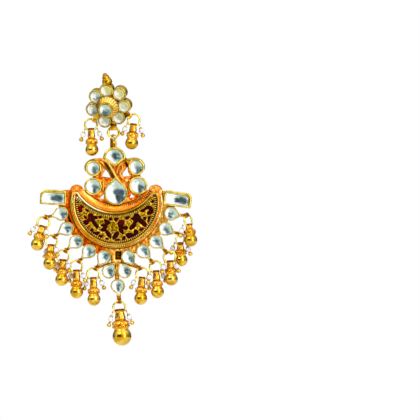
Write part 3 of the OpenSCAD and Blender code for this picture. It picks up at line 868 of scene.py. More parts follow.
rims = Shape(PENDANT)
crescent_sweep(rims, [(12.36, 0.5), (12.42, 0.8), (12.6, 0.96), (12.8, 0.98), (12.94, 0.9), (13.02, 0.6)],
               300)
crescent_sweep(rims, [(13.4, 0.6), (13.46, 0.88), (13.56, 0.98), (13.68, 1.0), (13.82, 0.9), (13.9, 0.5),
                      (13.92, PLATE)], 300)


def rim_tone(x, y):
    # painted light: lighter and darker along the crescent, with a painted highlight on the outer wire at the
    # upper right
    t = turn_at(x, y)
    left, right = ease(t, -0.35, -0.75), ease(t, 0.3, 0.7)
    if distance(x, y, CRESCENT) < 13.1:
        return 0.52 + 0.24 * left + 0.12 * right
    return 0.5 - 0.06 * left + 0.36 * ease(t, 0.5, 0.72) + 0.1 * ease(t, 0.1, 0.4)


rims.piece("lower_rim", RIM_GOLD, tone=rim_tone)

channel = Shape(PENDANT)
crescent_sweep(channel, [(12.96, 0.7), (13.06, 0.8), (13.2, 0.86), (13.34, 0.82), (13.46, 0.7)], 1240, 0.05)


def channel_tone(x, y):
    t = turn_at(x, y)
    rope = ease(t, -0.4, -0.15) * ease(t, 0.66, 0.5)
    # the rope: a painted highlight on each bead
    return 0.46 + 0.1 * ease(t, -0.2, -0.6) + rope * (0.12 + 0.5 * tick(x, y, CRESCENT))


channel.piece("rim_rope", BAND_GOLD, tone=channel_tone)

edge = Shape(PENDANT)
left_curl = [(-12.42, -21.4), (-12.5, -19.9), (-12.24, -18.8), (-11.55, -18.2), (-10.8, -18.32)]
right_curl = [(11.72, -18.56), (12.4, -18.36), (13.1, -18.75), (13.3, -19.75)]
main = [border(-0.88 + 1.76 * k / 60, 13.5, 0.92) for k in range(61)]
edge.tube(smooth_path(at_level(left_curl, 0.95) + main + at_level(right_curl, 0.95), 4), 0.26, sides=10)
edge.tube([border(-0.92 + 1.84 * k / 160, 14.02, 0.6) for k in range(161)], 0.15)


def edge_tone(x, y):
    if distance(x, y, PANEL_TOP) > 13.8 and abs(x) < 9.5:
        return 0.3
    # painted light: the main wire pale on the left and darker to the right
    return (0.98 - 0.5 * ease(x, -5.0, 1.0) + 0.12 * ease(x, 7.0, 11.0)
            - 0.2 * ease(x, -10.6, -12.0))


edge.piece("band_edge_wires", RIM_GOLD, tone=edge_tone)

ladder = Shape(PENDANT)
for s in (-0.92 + 1.84 * k / 44 for k in range(45)):
    ladder.bead((*border(s, 14.5, 0)[:2], 0.46), 0.19, (0.85, 2.0, 1.1), TIP * s)
for a in (-187 + 194 * k / 65 for k in range(66)):
    ladder.bead((*polar(11.9, a, CRESCENT), 0.46), 0.19, (1.9, 0.85, 1.1), a)
ladder.piece("panel_ladder_beads", FRET_GOLD, slot="fretwork_gold", tone=lambda x, y: 0.8)

# Pierced panel over dark red glass
# the openings' corners, x and y in turn, in view units
OPENINGS = [
    [76.2, 199.5, 77.4, 198.8, 78.8, 200.5, 78.2, 202.6, 76.8, 202.8, 76, 201.4],
    [77, 208, 78.6, 206.2, 80.4, 206.2, 81.2, 205, 84.2, 206.8, 81.9, 208, 82.2, 210.8, 80, 212, 77.8,
     211.2],
    [85.8, 209.2, 88.4, 209.6, 89, 210.9, 86.6, 210.6],
    [79, 215, 80.4, 216.4, 80.7, 219.2, 79.4, 217.8],
    [84, 215.8, 85.4, 215.8, 86.9, 218.4, 85.4, 218],
    [89.4, 213.6, 92.4, 213.6, 93.6, 215.8, 96.8, 216, 97.4, 218.2, 94.6, 219.4, 95.6, 222, 98.2, 225.6,
     97.6, 228.4, 95, 226, 93.2, 223.4, 91.8, 221, 89.2, 221.6, 88.2, 223.8, 84, 224.6, 83, 222.4, 84.6,
     220.4, 87.2, 219.4, 88.6, 217.2, 88.8, 215.2],
    [98.4, 216.4, 100.4, 216, 101.8, 217.2, 99.8, 218.2],
    [104.2, 219.4, 107, 219.8, 109.8, 221.4, 109.4, 223.6, 107.4, 224.8, 107, 227.2, 105.2, 230.6, 101.6,
     230.8, 101.4, 229.2, 103.4, 227.6, 103.2, 226, 101, 225.2, 103, 224, 105.2, 224, 105.4, 222],
    [105.8, 229.8, 108.4, 230.6, 110.6, 234, 110.9, 238.4, 108.4, 236.2, 106.4, 233],
    [110.2, 217.4, 111.8, 217.6, 111.8, 219.8, 110.4, 220.2, 109.6, 218.8],
    [114.8, 218.2, 118.2, 217.8, 118.2, 219, 116.4, 221.2, 115.2, 220.2],
    [119.8, 220.4, 122.8, 219.8, 124.6, 221.4, 123.8, 224, 123.8, 226.2, 126.4, 226, 128, 227.2, 127, 229.2,
     124.6, 229, 123.2, 229.4, 123.6, 231.6, 123.6, 233.8, 121.4, 232.8, 119.4, 231, 119.4, 228, 118.4, 225,
     118.4, 222.4],
    [118.6, 231.4, 118.8, 234.2, 116.2, 238.2, 112.8, 239, 113.8, 235, 115.8, 232.4],
    [115.4, 240.2, 117.4, 238.9, 120.2, 239.4, 119.2, 240.8, 117, 241],
    [122.6, 240, 123, 237.4, 125.2, 236.4, 125.2, 239.6, 123.8, 240.4],
    [125.4, 217.2, 128.2, 216.4, 129.8, 217, 128, 219, 126, 218.6],
    [135.8, 213.4, 138.2, 213.6, 139.2, 215.2, 140.8, 216.2, 141, 218.4, 143.6, 219.8, 146.8, 224, 146.2,
     226.4, 143.4, 225.6, 140.4, 222.6, 138.2, 221.2, 136.2, 223.2, 135.6, 226.2, 131.4, 229.6, 129.9,
     227.6, 132, 224.6, 134, 221.6, 133.4, 219.6, 130.8, 218.6, 133.8, 217, 134.4, 215],
    [143.4, 218, 145, 216.8, 146.6, 218, 145, 219.7],
    [149, 216.4, 150.7, 215.8, 150.1, 219.2, 148.4, 222.4, 148.3, 219],
    [140.2, 210.6, 143, 209.4, 146, 207.4, 147.4, 205.8, 150.2, 205.8, 152.8, 208, 153.3, 211.2, 151.6,
     213.8, 148.3, 214.2, 147.9, 212, 149.6, 210.6, 148.6, 208.8, 146, 209, 143.4, 211.6],
    [151.9, 200.4, 153.2, 200, 154, 201.2, 152.9, 202.4, 151.7, 201.8],
    [139.8, 229.8, 141, 228.2, 143.7, 227.8, 142.2, 230.4],
    [126.4, 235, 128.4, 233, 131, 233.2, 134, 233.8, 134.8, 230, 137.4, 230.2, 138.3, 232.6, 136, 235.2,
     132.2, 237.8, 128.4, 237.8],
    [89.8, 231.6, 92, 228.3, 93.4, 229.4, 92.6, 231.4, 95.2, 232.4, 98.2, 231.6, 99.8, 232.4, 97.2, 235.2,
     95.6, 236, 93, 233.8, 90.8, 233.2],
    [86.2, 227.3, 87.8, 227.5, 88.7, 229.6, 87.3, 230.4, 86, 229],
    [99.4, 235, 102.6, 235.2, 102.4, 237, 100.6, 238, 99.3, 236.6],
    [106, 238.2, 108.4, 238, 108.6, 239.2, 106.6, 239.4],
    [147.2, 229, 149, 226.6, 149.6, 227.6, 148.2, 229.8],
]


def inside(points, poly):
    """Which of the points lie in the polygon."""
    x, y = points[:, 0], points[:, 1]
    hit = np.zeros(len(points), bool)
    for (x0, y0), (x1, y1) in zip(poly, poly[1:] + poly[:1]):
        if y0 != y1:
            hit ^= ((y0 > y) != (y1 > y)) & (x < (x1 - x0) * (y - y0) / (y1 - y0) + x0)
    return hit


def on_sheet(points, edge, holes):
    """Which of the points lie inside the edge and outside all holes."""
    keep = inside(points, edge)
    for loop in holes:
        keep &= ~inside(points, loop)
    return keep


def nearest(points, targets):
    """Each point's distance to the nearest target."""
    t = np.array([tuple(p) for p in targets])
    return np.array([np.min(np.hypot(t[:, 0] - p[0], t[:, 1] - p[1])) for p in points])


def sheet(edge, holes, step, clear=0.1):
    """A triangulated sheet with open holes, and each point's distance to the nearest hole and to the edge."""
    verts, edges = [], []
    for loop in [edge] + holes:
        start = len(verts)
        verts += [Vector(p) for p in loop]
        edges += [(start + k, start + (k + 1) % len(loop)) for k in range(len(loop))]
    low, high = np.min(np.array(edge), axis=0), np.max(np.array(edge), axis=0)
    grid = np.array([(gx + RNG.uniform(-0.2, 0.2) * step, gy + RNG.uniform(-0.2, 0.2) * step)
                     for gx in np.arange(low[0], high[0], step) for gy in np.arange(low[1], high[1], step)])
    grid = grid[on_sheet(grid, edge, holes)]
    verts += [Vector(g) for g in grid[nearest(grid, verts) > clear]]
    made = geometry.delaunay_2d_cdt(verts, edges, [], 0, 1e-6)
    pts = np.array([tuple(p) for p in made[0]])
    tris = np.array([f for f in made[2] if len(f) == 3])
    tris = tris[on_sheet(pts[tris].mean(axis=1), edge, holes)]
    d_edge = nearest(pts, edge)
    d_hole = nearest(pts, [p for loop in holes for p in loop]) if holes else d_edge + 9.0
    return pts, [tuple(int(i) for i in f) for f in tris], d_hole, d_edge


def widened(loop, by):
    """The closed opening with its outline moved outward."""
    n = len(loop)
    area = sum(loop[k - 1][0] * loop[k][1] - loop[k][0] * loop[k - 1][1] for k in range(n))
    out = []
    for k in range(n):
        t = Vector(loop[(k + 1) % n]) - Vector(loop[k - 1])
        t = t.normalized() * (by if area > 0 else -by)
        out.append((loop[k][0] + t.y, loop[k][1] - t.x))
    return out


def dome(t):
    """Height of a rounded edge, from 0 at its foot to 1."""
    return math.sqrt(max(0.0, 1 - (1 - t) ** 2))


def blot(p, scale_x, scale_y, layer):
    return noise.noise(Vector((p[0] * scale_x, p[1] * scale_y, layer)))


panel_edge = sweep(CRESCENT, 12.3, -191.0, 11.0, 120)
panel_edge += [border(s, 13.8, 0, 0.4)[:2] for s in np.linspace(0.955, -0.955, 100)]
holes = [widened(smooth_path([from_view(*p) for p in zip(o[::2], o[1::2])], 5, True), 0.1) for o in OPENINGS]
pts, tris, d_hole, d_edge = sheet(panel_edge, holes, 0.18)
fret_z, fret_shade = [], []
for p, dh, de in zip(pts, d_hole, d_edge):
    t = min(min(dh, de + 0.2) / 0.42, 1.0)
    vein = blot(p, 1.5, 1.5, 4.2) + 0.5 * blot(p, 3.6, 3.6, 9.1)
    cut = t * max(0.0, 1 - abs(vein) / 0.14)
    fret_z.append(0.06 + 0.36 * dome(t) - 0.24 * cut + 0.05 * t * vein)
    # random tone, brighter at the openings' edges as a painted highlight
    tone = 0.47 + 0.55 * blot(p, 2.3, 2.3, 1.7) + 0.16 * ease(dh, 0.45, 0.2) * ease(dh, 0.0, 0.1)
    # painted shade in the veins
    tone -= 0.5 * cut
    # painted shade: a dark strip under the ladder beads along both edges
    rim_shade = 0.05 if turn_at(*p) > 0.2 else 0.2
    tone += (rim_shade - tone) * ease(distance(*p, CRESCENT), 11.5, 11.7)
    tone += (0.3 - tone) * 0.8 * ease(distance(*p, PANEL_TOP), 14.95, 14.75)
    fret_shade.append(tone)
fret = Shape(PENDANT)
fret.add([(*p, z) for p, z in zip(pts, fret_z)], tris)
fret.piece("panel_fretwork_leaves", FRET_GOLD, slot="fretwork_gold", replaces=["panel_fretwork"],
           shade=fret_shade)

GLASS_C = (0.7, -27.5)
glass = Shape(PENDANT)
cx, cy = GLASS_C
glass_edge = [Vector(p) for p in panel_edge]
glass.loft([[((x - cx) * q + cx, (y - cy) * q + cy, 0.02) for x, y in glass_edge]
            for q in (1.0, 0.75, 0.5, 0.25)], True, False, True)
glass.piece("panel_dark_glass", MAROON, slot="dark_red_glass", replaces=["panel_glass"])

# Ribbons over the top group
# radius, then the path in the front view with its height above the pendant's plane: x, y, z
RIBBONS = [
    (0.34, [(95, 161.2, 0.9), (99.6, 161, 1), (103, 163, 0.9), (104.6, 165.6, 0.7)]),
    (0.33, [(95, 159.6, 0.95), (101, 158.9, 1.1), (107.6, 162, 1.3), (112.6, 169.6, 1.35),
            (116.4, 176.4, 1.2), (120.6, 182, 1), (125.4, 187, 0.9), (127.4, 193, 0.6)]),
    (0.33, [(124.4, 162, 1), (119.6, 165.2, 1.05), (117.6, 169, 0.9), (117, 173, 0.7)]),
    (0.4, [(100.6, 163.4, 0.6), (101.2, 168.4, 0.7), (102, 172.6, 0.6), (101.2, 177, 0.5)]),
    (0.26, [(128.8, 167, 0.5), (129.2, 171.4, 0.6), (131, 175.6, 0.5)]),
    (0.4, [(121.4, 163.6, 0.5), (122.6, 168, 0.6), (120.4, 173.4, 0.6), (123.4, 178.4, 0.5)]),
    (0.36, [(128.4, 182.6, 0.4), (129, 187.6, 0.5), (129.4, 191.6, 0.4)]),
    (0.36, [(103.6, 181, 0.4), (103.2, 187, 0.5), (103.6, 191.8, 0.4)]),
]
# the knot and its painted highlight, painted highlights as bright strokes, and the spans in which the tone
# falls, all in view units
KNOT, KNOT_PAINTED_HIGHLIGHT = (126.9, 180.2), (126.4, 180.3)
RIBBON_PAINTED_HIGHLIGHTS = [(103, 160, 112, 168, 1), (112, 168, 117, 178, 1)]
UPPER_FALL, LOWER_FALL = ((121, 126), (172, 164)), ((124, 128), (183, 188))
ribbon = Shape(PENDANT)
for width, path in RIBBONS:
    ribbon.tube(smooth_path(view_path(path)), width, sides=10, flat=0.8)
ribbon.bead((*from_view(*KNOT), 0.75), 0.62, (1, 1, 0.8), fine=True)


def both(x, y, span_x, span_y):
    """1 past the ends of both spans, 0 before one of them."""
    return ease(x, *span_x) * ease(y, *span_y)


def ribbon_tone(x, y):
    vx, vy = to_view(x, y)
    # painted highlights on the knot and along the strokes
    t = 0.62 + 0.26 * math.exp(-((vx - KNOT_PAINTED_HIGHLIGHT[0]) ** 2 + (vy - KNOT_PAINTED_HIGHLIGHT[1]) ** 2) / 3.0)
    t += 0.14 * ease(stroke_distance(vx, vy, RIBBON_PAINTED_HIGHLIGHTS), 1.4, 0.0)
    return t - 0.16 * both(vx, vy, *UPPER_FALL) - 0.12 * both(vx, vy, *LOWER_FALL)


ribbon.piece("top_ribbons", BAND_GOLD, tone=ribbon_tone)

# painted shade: a dark tube laid in the deep gap under the crossing ribbon
RIBBON_SHADE_PATH = [(105, 163.4, 0.9), (107.4, 165.2, 1.1), (110.2, 170.2, 1.15), (112.6, 175, 1.1), (113.4, 177.4, 0.9)]
gap = Shape(PENDANT)
gap.tube(smooth_path(view_path(RIBBON_SHADE_PATH)), 0.4, sides=10, flat=0.8)
gap.piece("ribbon_painted_shade", RIM_GOLD, tone=lambda x, y: 0.02 + 0.1 * ease(math.sin(3.1 * y), 0.2, 0.9))

ARCHES = [
    [(85.7, 171.4, 0.5), (85.5, 166.6, 0.7), (87.8, 162.2, 0.8), (92, 159.8, 0.9), (97.4, 159, 0.9),
     (101.6, 159.8, 0.8)],
    [(117.8, 166.6, 0.8), (120.6, 163.2, 1), (124.8, 160.6, 1), (130, 158.8, 0.9), (135.8, 158.2, 0.9),
     (141, 160.2, 0.8), (144.2, 164.4, 0.7), (144.7, 169.6, 0.5)],
]
arch = Shape(PENDANT)
for path in ARCHES:
    curve = smooth_path(view_path(path))
    last = len(curve) - 1
    widths = [0.3 * min(1.0, 0.3 + min(k, last - k) / 9) for k in range(last + 1)]
    arch.tube(curve, widths, sides=10, flat=0.8)
arch.piece("top_arches", RIM_GOLD, tone=lambda x, y: 0.5 + 0.2 * math.sin(1.3 * x + 0.6))

# Hammered skins over the plates between the stones
# painted shadows, painted deep red shade and painted highlights on the skins in the front view: strokes as
# above
SKIN_PAINTED_SHADOWS = [
    (105.4, 164, 109.4, 168.6, 0.9), (109.4, 168.6, 111.6, 173, 1.1), (111.6, 173, 112.6, 176.6, 1),
    (126.4, 163.2, 127.6, 165.4, 1.4), (104.4, 159, 104.6, 159.8, 0.9), (91.2, 176.4, 92.6, 177.6, 0.7),
    (68.6, 216, 71, 222, 0.6), (182.6, 216.8, 183.4, 218.6, 0.6),
]
SKIN_PAINTED_RED_SHADE = [
    (117.4, 164.8, 119, 163.6, 0.9), (120.4, 177, 122.6, 180.8, 1), (127.6, 185.4, 129.4, 195.4, 0.9),
    (103.4, 200.2, 107.4, 203.4, 0.8), (93, 177.4, 100.4, 178.6, 0.9), (131.4, 177.4, 139.4, 177.4, 0.9),
    (96, 195, 100.4, 196.6, 1), (130.4, 199, 138, 195.6, 0.8), (116, 166, 117, 172, 0.8),
    (104.6, 178.6, 108.4, 179.6, 0.9),
]
SKIN_PAINTED_HIGHLIGHTS = [
    (120.2, 169.4, 120.6, 172, 0.8), (100.6, 163, 103.4, 172, 1.8), (104.6, 162, 106, 166, 0.8),
    (124.4, 168, 122, 171.6, 0.6), (103.2, 179, 102.6, 185, 0.5), (118, 173, 121.4, 177, 0.6),
    (130, 180.6, 129, 183, 0.7),
]


# the plate outside the top group: its upper and side limits, and the spans in which painted light makes its
# tone rise
OUTER_TOP, OUTER_LEFT, OUTER_RIGHT = 204.5, 72, 156
OUTER_RISE, HORN_RISE = (92, 128), (204, 198)
# the foot, and the strip of plate beside it
FOOT_LEFT, FOOT_RIGHT, FOOT_TOP = 108, 124, 246
STRIP_LEFT, STRIP_TOP, STRIP_LOW = 105, 247, 250


def skin_tone(x, y):
    vx, vy = to_view(x, y)
    t = 0.6
    if vy > OUTER_TOP or vx < OUTER_LEFT or vx > OUTER_RIGHT:
        # painted light: brighter to the right and higher up
        t = 0.32 + 0.36 * ease(vx, *OUTER_RISE) + 0.08 * ease(vy, *HORN_RISE)
        if STRIP_TOP < vy < STRIP_LOW and STRIP_LEFT < vx < FOOT_RIGHT:
            t += 0.1
    if vy > FOOT_TOP and FOOT_LEFT < vx < FOOT_RIGHT:
        t = 0.72
    # painted shadow, then painted red shade, then painted highlights
    t -= 0.62 * ease(stroke_distance(vx, vy, SKIN_PAINTED_SHADOWS), 0.7, -0.5)
    t -= 0.24 * ease(stroke_distance(vx, vy, SKIN_PAINTED_RED_SHADE), 1.2, -0.6)
    return t + 0.26 * ease(stroke_distance(vx, vy, SKIN_PAINTED_HIGHLIGHTS), 1.2, -0.6)


def skin(edge, holes, base, rise, step=0.3):
    """A hammered sheet on the plate, rounded down at its edges."""
    pts, tris, d_hole, d_edge = sheet(edge, holes, step)
    out = []
    for p, dh, de in zip(pts, d_hole, d_edge):
        grain = blot(p, 1.9, 1.1, 2.7) + 0.6 * blot(p, 4.1, 2.6, 6.1)
        out.append((*p, base + rise * dome(min(min(dh, de) / 0.5, 1.0)) * (0.8 + 0.45 * grain)))
    skins.add(out, tris)


def dense(points, step=0.3):
    """The closed outline with points added along its sides."""
    out = []
    for a, b in zip(points, points[1:] + points[:1]):
        a, b = Vector(a), Vector(b)
        n = max(1, int((b - a).length / step))
        out += [tuple(a.lerp(b, j / n)) for j in range(n)]
    return out


skins = Shape(PENDANT)
web = [(0.3, -6.2), (-5.6, -9.8), (-6.1, -16.0), (-7.6, -17.6)]
web += sweep(BAND_TOP, BAND_TOP_R + 0.1, -134, -45, 60) + [(9.0, -17.4), (7.8, -13.3), (6.5, -9.6)]
WEB_HOLES = [
    [(-2.2, -10.95), (-3.65, -13.3), (-3.0, -13.62), (-0.95, -13.68)],
    [(4.1, -10.55), (3.4, -11.3), (2.65, -12.6), (2.85, -13.35), (5.15, -13.25)],
    [(-4.25, -19.95), (-2.92, -18.65), (-2.97, -20.15)],
    [(4.85, -19.84), (5.31, -18.52), (6.4, -19.52)],
]
skin(dense(web), [dense(h, 0.2) for h in WEB_HOLES], -0.42, 0.62)
# the ring of plate under the pear settings, notched round the recess at its middle
ring_in, ring_out = sweep(CRESCENT, 13.7, -189, 9, 150), sweep(CRESCENT, 16.42, 7.5, -187.5, 160)
RECESS_L, RECESS_R, RECESS_TOP, RECESS_LOW = 0.66, 2.4, -35.83, -38.27
notch = [(RECESS_R, -37.3 + 0.21 * k) for k in range(8)] + [(2.2 - 0.22 * k, RECESS_TOP) for k in range(7)]
notch += [(RECESS_L, RECESS_TOP - 0.22 * k) for k in range(8)]
right_part, left_part = [p for p in ring_out if p[0] > 2.5], [p for p in ring_out if p[0] < 0.6]
skin(ring_in + right_part + notch + left_part, [], -0.44, 0.42)
foot = [(-0.9, -34.8), (2.8, -34.8), (2.5, -39.0), (1.6, -39.95), (1.6, -44.3), (0.5, -44.3), (0.5, -39.95),
        (-0.7, -39.0)]
recess = [(RECESS_L, RECESS_TOP), (RECESS_R, RECESS_TOP), (RECESS_R, RECESS_LOW), (RECESS_L, RECESS_LOW)]
skin(dense(foot, 0.2), [dense(recess, 0.2)], -0.42, 0.5, 0.24)
skin(dense([(-15.0, -17.5), (-12.3, -17.5), (-12.3, -22.4), (-16.1, -22.5), (-16.9, -21.4)]), [], -0.42, 0.66)
skin(dense([(13.7, -17.7), (15.9, -17.9), (19.2, -22.0), (17.5, -22.8), (13.7, -22.8)]), [], -0.42, 0.6)
skins.piece("hammered_skins", SKIN_GOLD, tone=skin_tone)

# painted shade: a dark lining in the recess in the foot
well = Shape(PENDANT)
well.loft([[(x0, low, z), (x1, low, z), (x1, high, z), (x0, high, z)] for x0, x1, low, high, z in
           ((0.7, 2.36, -38.23, -35.87, -0.42), (0.74, 2.32, -38.18, -35.92, -0.96))], True, False, True)
well.piece("foot_recess_painted_shade", RIM_GOLD, tone=lambda x, y: 0.02)

# radius and path, as for the ribbons
HORN_WIRES = [
    (0.28, [(162.3, 196.5, 0.75), (162.6, 203, 0.8), (161.6, 210, 0.8), (160.4, 219, 0.75)]),
    (0.24, [(71.6, 196.5, 0.6), (71.8, 203, 0.66), (72.6, 212, 0.6)]),
]
bars = Shape(PENDANT)
for width, path in HORN_WIRES:
    bars.tube(view_path(path), width, sides=10)
# painted light: the right wire bright, the left one dark
bars.piece("horn_wires", RIM_GOLD, tone=lambda x, y: 0.72 if x > 0 else 0.34)

# Bail and loops
BAIL_LOW, BAIL_BEND = -4.9, -1.98  # heights of the bail's feet and of its bend's centre
bail = Shape(PENDANT @ rot("Y", 42))
leg = [BAIL_LOW + (BAIL_BEND - BAIL_LOW) * k / 10 for k in range(11)]
path = [(0, y, -1.0) for y in leg] + [(0, BAIL_BEND + sind(a), -cosd(a)) for a in range(10, 171, 10)]
path += [(0, y, 1.0) for y in reversed(leg)]
bail.tube(path, [0.385 if k < 9 or k > 29 else 0.368 for k in range(len(path))], sides=14)
web_x, web_z = 0.21, 0.95  # half the size of the web that closes the bail below the link
bail.loft([[(-web_x, y, -web_z), (-web_x, y, web_z), (web_x, y, web_z), (web_x, y, -web_z)]
           for y in (BAIL_LOW, -3.7, -2.2)], True, False, True)


# the bail's left side, dark with painted shade, and the heights between which its tone changes, in view units
BAIL_LEFT, BAIL_TOP, BAIL_MIDDLE, BAIL_FOOT = 113.3, 138.5, 140, 144


def bail_tone(x, y):
    vx, vy = view_of(PENDANT @ Vector((x, y, 0)))
    if vx < BAIL_LEFT:
        return 0.42 + 0.14 * ease(vy, BAIL_MIDDLE, BAIL_FOOT) - 0.08 * ease(vy, BAIL_TOP, BAIL_MIDDLE)
    # the right side bright with a painted highlight, darker lower down
    return 1.0 - 0.3 * ease(vy, BAIL_MIDDLE + 0.5, BAIL_FOOT)


bail.piece("bail_skin", COLLAR_GOLD, tone=bail_tone)

strap = Shape(move(*flower_hook(2)) @ UPRIGHT)
rows = []
for a in range(-96, 100, 12):
    half = 0.93 + 0.22 * ease(-sind(a), -0.3, 1.0)
    rows.append([(half * (k / 8 - 1), -0.2 + 1.05 * sind(a), 1.05 * cosd(a)) for k in range(17)])
rows.append([(0.8 * (k / 8 - 1), 1.35, 0.1) for k in range(17)])
strap.loft(rows, False)
strap.piece("strap_skin", COLLAR_GOLD, "ear_top",
            tone=lambda x, y: 0.88 - 0.4 * ease(y, 0.5, 1.2) + 0.14 * math.sin(3.0 * x))

EYE_R, EYE_HALF, EYE_STEPS, EYE_SIDES = 0.71, 0.65, 13, 20
# painted shade, darkest at the middle of each eye
for name, body, members, shaded_middle in (("pendant_eyes", "pendant", range(1, 12), 0.2),
                                  ("flower_eyes", "ear_top", (12, 13), 0.5)):
    eyes = Shape()
    for i in members:
        swing, turn = DROPS[i - 1][:2]
        eyes.tube([(EYE_HALF * (k / 6 - 1), 0, 0) for k in range(EYE_STEPS)],
                  [EYE_R + 0.03 * math.cos(k * 1.9) for k in range(EYE_STEPS)], sides=EYE_SIDES, up=(0, 1, 0),
                  at=move(*drop_hook(i)) @ rot("Z", turn) @ UPRIGHT @ rot("Z", swing))
    eyes.f = [f for f in eyes.f if len(f) == 4]
    eyes.piece(name, COLLAR_GOLD, body,
               shade=[shaded_middle + 0.3 * abs(j // EYE_SIDES % EYE_STEPS - 6) / 6 for j in range(len(eyes.v))])

# Flower
flower_rims = Shape(FLOWER)
# depth of the painted reflection, tint
PETAL_LOOKS = [(0.45, 1.0), (0.4, 0.9), (0.35, 0.7), (0.5, 0.5), (0.35, 0.4), (1, 0.25), (1, 0.2)]
for k, ((r, a), (depth, tint)) in enumerate(zip(PETALS, PETAL_LOOKS)):
    setting(flower_rims, f"petal_cut_{k + 1}", ["petal_stones"] if k == 0 else [], (0, 0),
            circle_reach(PETAL_R), 0.4, 64, a, 1.6, PETAL_H, 50 + k, f"petal_{k + 1}", rise=0.42, skirt=0.03,
            at=FLOWER @ move(*polar(r, a), 0), body="ear_top", tint=tint, depth=depth)
setting(flower_rims, "centre_cut", ["centre_stone"], (0, 0), circle_reach(CENTRE_R), 0.4, 64, 0, 5.2,
        CENTRE_H, 71, "centre", rise=0.5, skirt=0.02, at=FLOWER, body="ear_top")
flower_rims.piece("flower_bezels", PETAL_GOLD, "ear_top")

collar = Shape(FLOWER)
# radius, height and depth of the flutes
COLLAR = [(2.62, 2.3, 0.0), (2.66, 2.75, 0.01), (3.3, 3.2, 0.05), (3.4, 3.36, 0.075), (3.2, 3.72, 0.085),
          (2.84, 4.25, 0.08), (2.5, 4.78, 0.06), (2.3, 5.1, 0.03), (2.22, 5.22, 0)]
FLUTES = 22


def fluted(a, k):
    return 1 + COLLAR[k][2] * (abs(math.cos(FLUTES / 2 * a)) - 0.6)


collar.turn([(r, z) for r, z, _ in COLLAR], 352, wave=fluted)
# the spans in which painted shade darkens the collar to the left and a painted highlight brightens it above,
# in view units
COLLAR_LEFT, COLLAR_ABOVE = (103, 98), ((100, 106), (108, 101))
collar.piece("fluted_collar", COLLAR_GOLD, "ear_top", place=view_of, tone=lambda x, y: (
    0.76 - 0.4 * ease(x, *COLLAR_LEFT) + 0.14 * both(x, y, *COLLAR_ABOVE)))

tip = Shape(FLOWER @ move(-0.35, 7.25, 0.85) @ rot("Z", 16) @ rot("X", -90))
# the granules' rings: height, radius, radius of a granule and their number
TIP_RINGS = [(0.15, 1.12, 0.44, 10), (0.85, 0.86, 0.4, 8), (1.5, 0.62, 0.36, 7), (2.1, 0.36, 0.34, 5)]
for z, ring_r, r, n in TIP_RINGS:
    for x, y in (polar(ring_r, 360 * k / n + 40 * z) for k in range(n)):
        if z > 0.5 or y <= 0.6:
            tip.bead((x, y, z), r)
tip.bead((0, 0, 2.5), 0.34)
tip.piece("finial_granules", COLLAR_GOLD, "ear_top", tone=lambda x, y: 0.6)


# Rings, drops and pearls
def wire_ring(name, at, r, wire, body, replaces, seed, narrow=0.0, thick=0.0, n=72):
    """A bent wire ring; narrow pulls its top sides inwards, thick swells the wire at both sides."""
    s = Shape(at)
    wob = random.Random(seed)
    p = wob.uniform(0, 6.28)
    gap = math.radians(wob.uniform(20, 160))
    pts, radii = [], []
    for k in range(n + 1):
        a = gap + 2 * math.pi * k / n * 0.997
        w = r * (1 + 0.012 * math.sin(2 * a + p) + 0.006 * math.sin(3 * a))
        x = w * math.cos(a) * (1 - narrow * ease(math.sin(a), -0.3, 1.0))
        pts.append((x, w * math.sin(a), 0.03 * math.sin(a + p)))
        radii.append(wire * (1 + 0.04 * math.sin(5 * a + p) + thick * max(0.0, abs(math.cos(a)) - 0.35)))
    s.tube(pts, radii, sides=12)
    s.piece(name, WIRE_GOLD, body, "drop_gold", replaces)


wire_ring("link_wire", PENDANT, LINK_R, LINK_WIRE, "link", ["link_ring"], 5, 0.28, 0.7)

BALL_R, NECK_R = 1.95, 0.95
BULB = [(1.3, -1.9), (1.42, -1.5), (1.5, -1.25)]  # where the ball meets the crown
CROWN = [(1.1, -3.42), (1.44, -3.14), (1.64, -2.66), (1.72, -2.24), (1.66, -1.84), (1.42, -1.5), (1.42, -1.3)]
LEAVES = 10


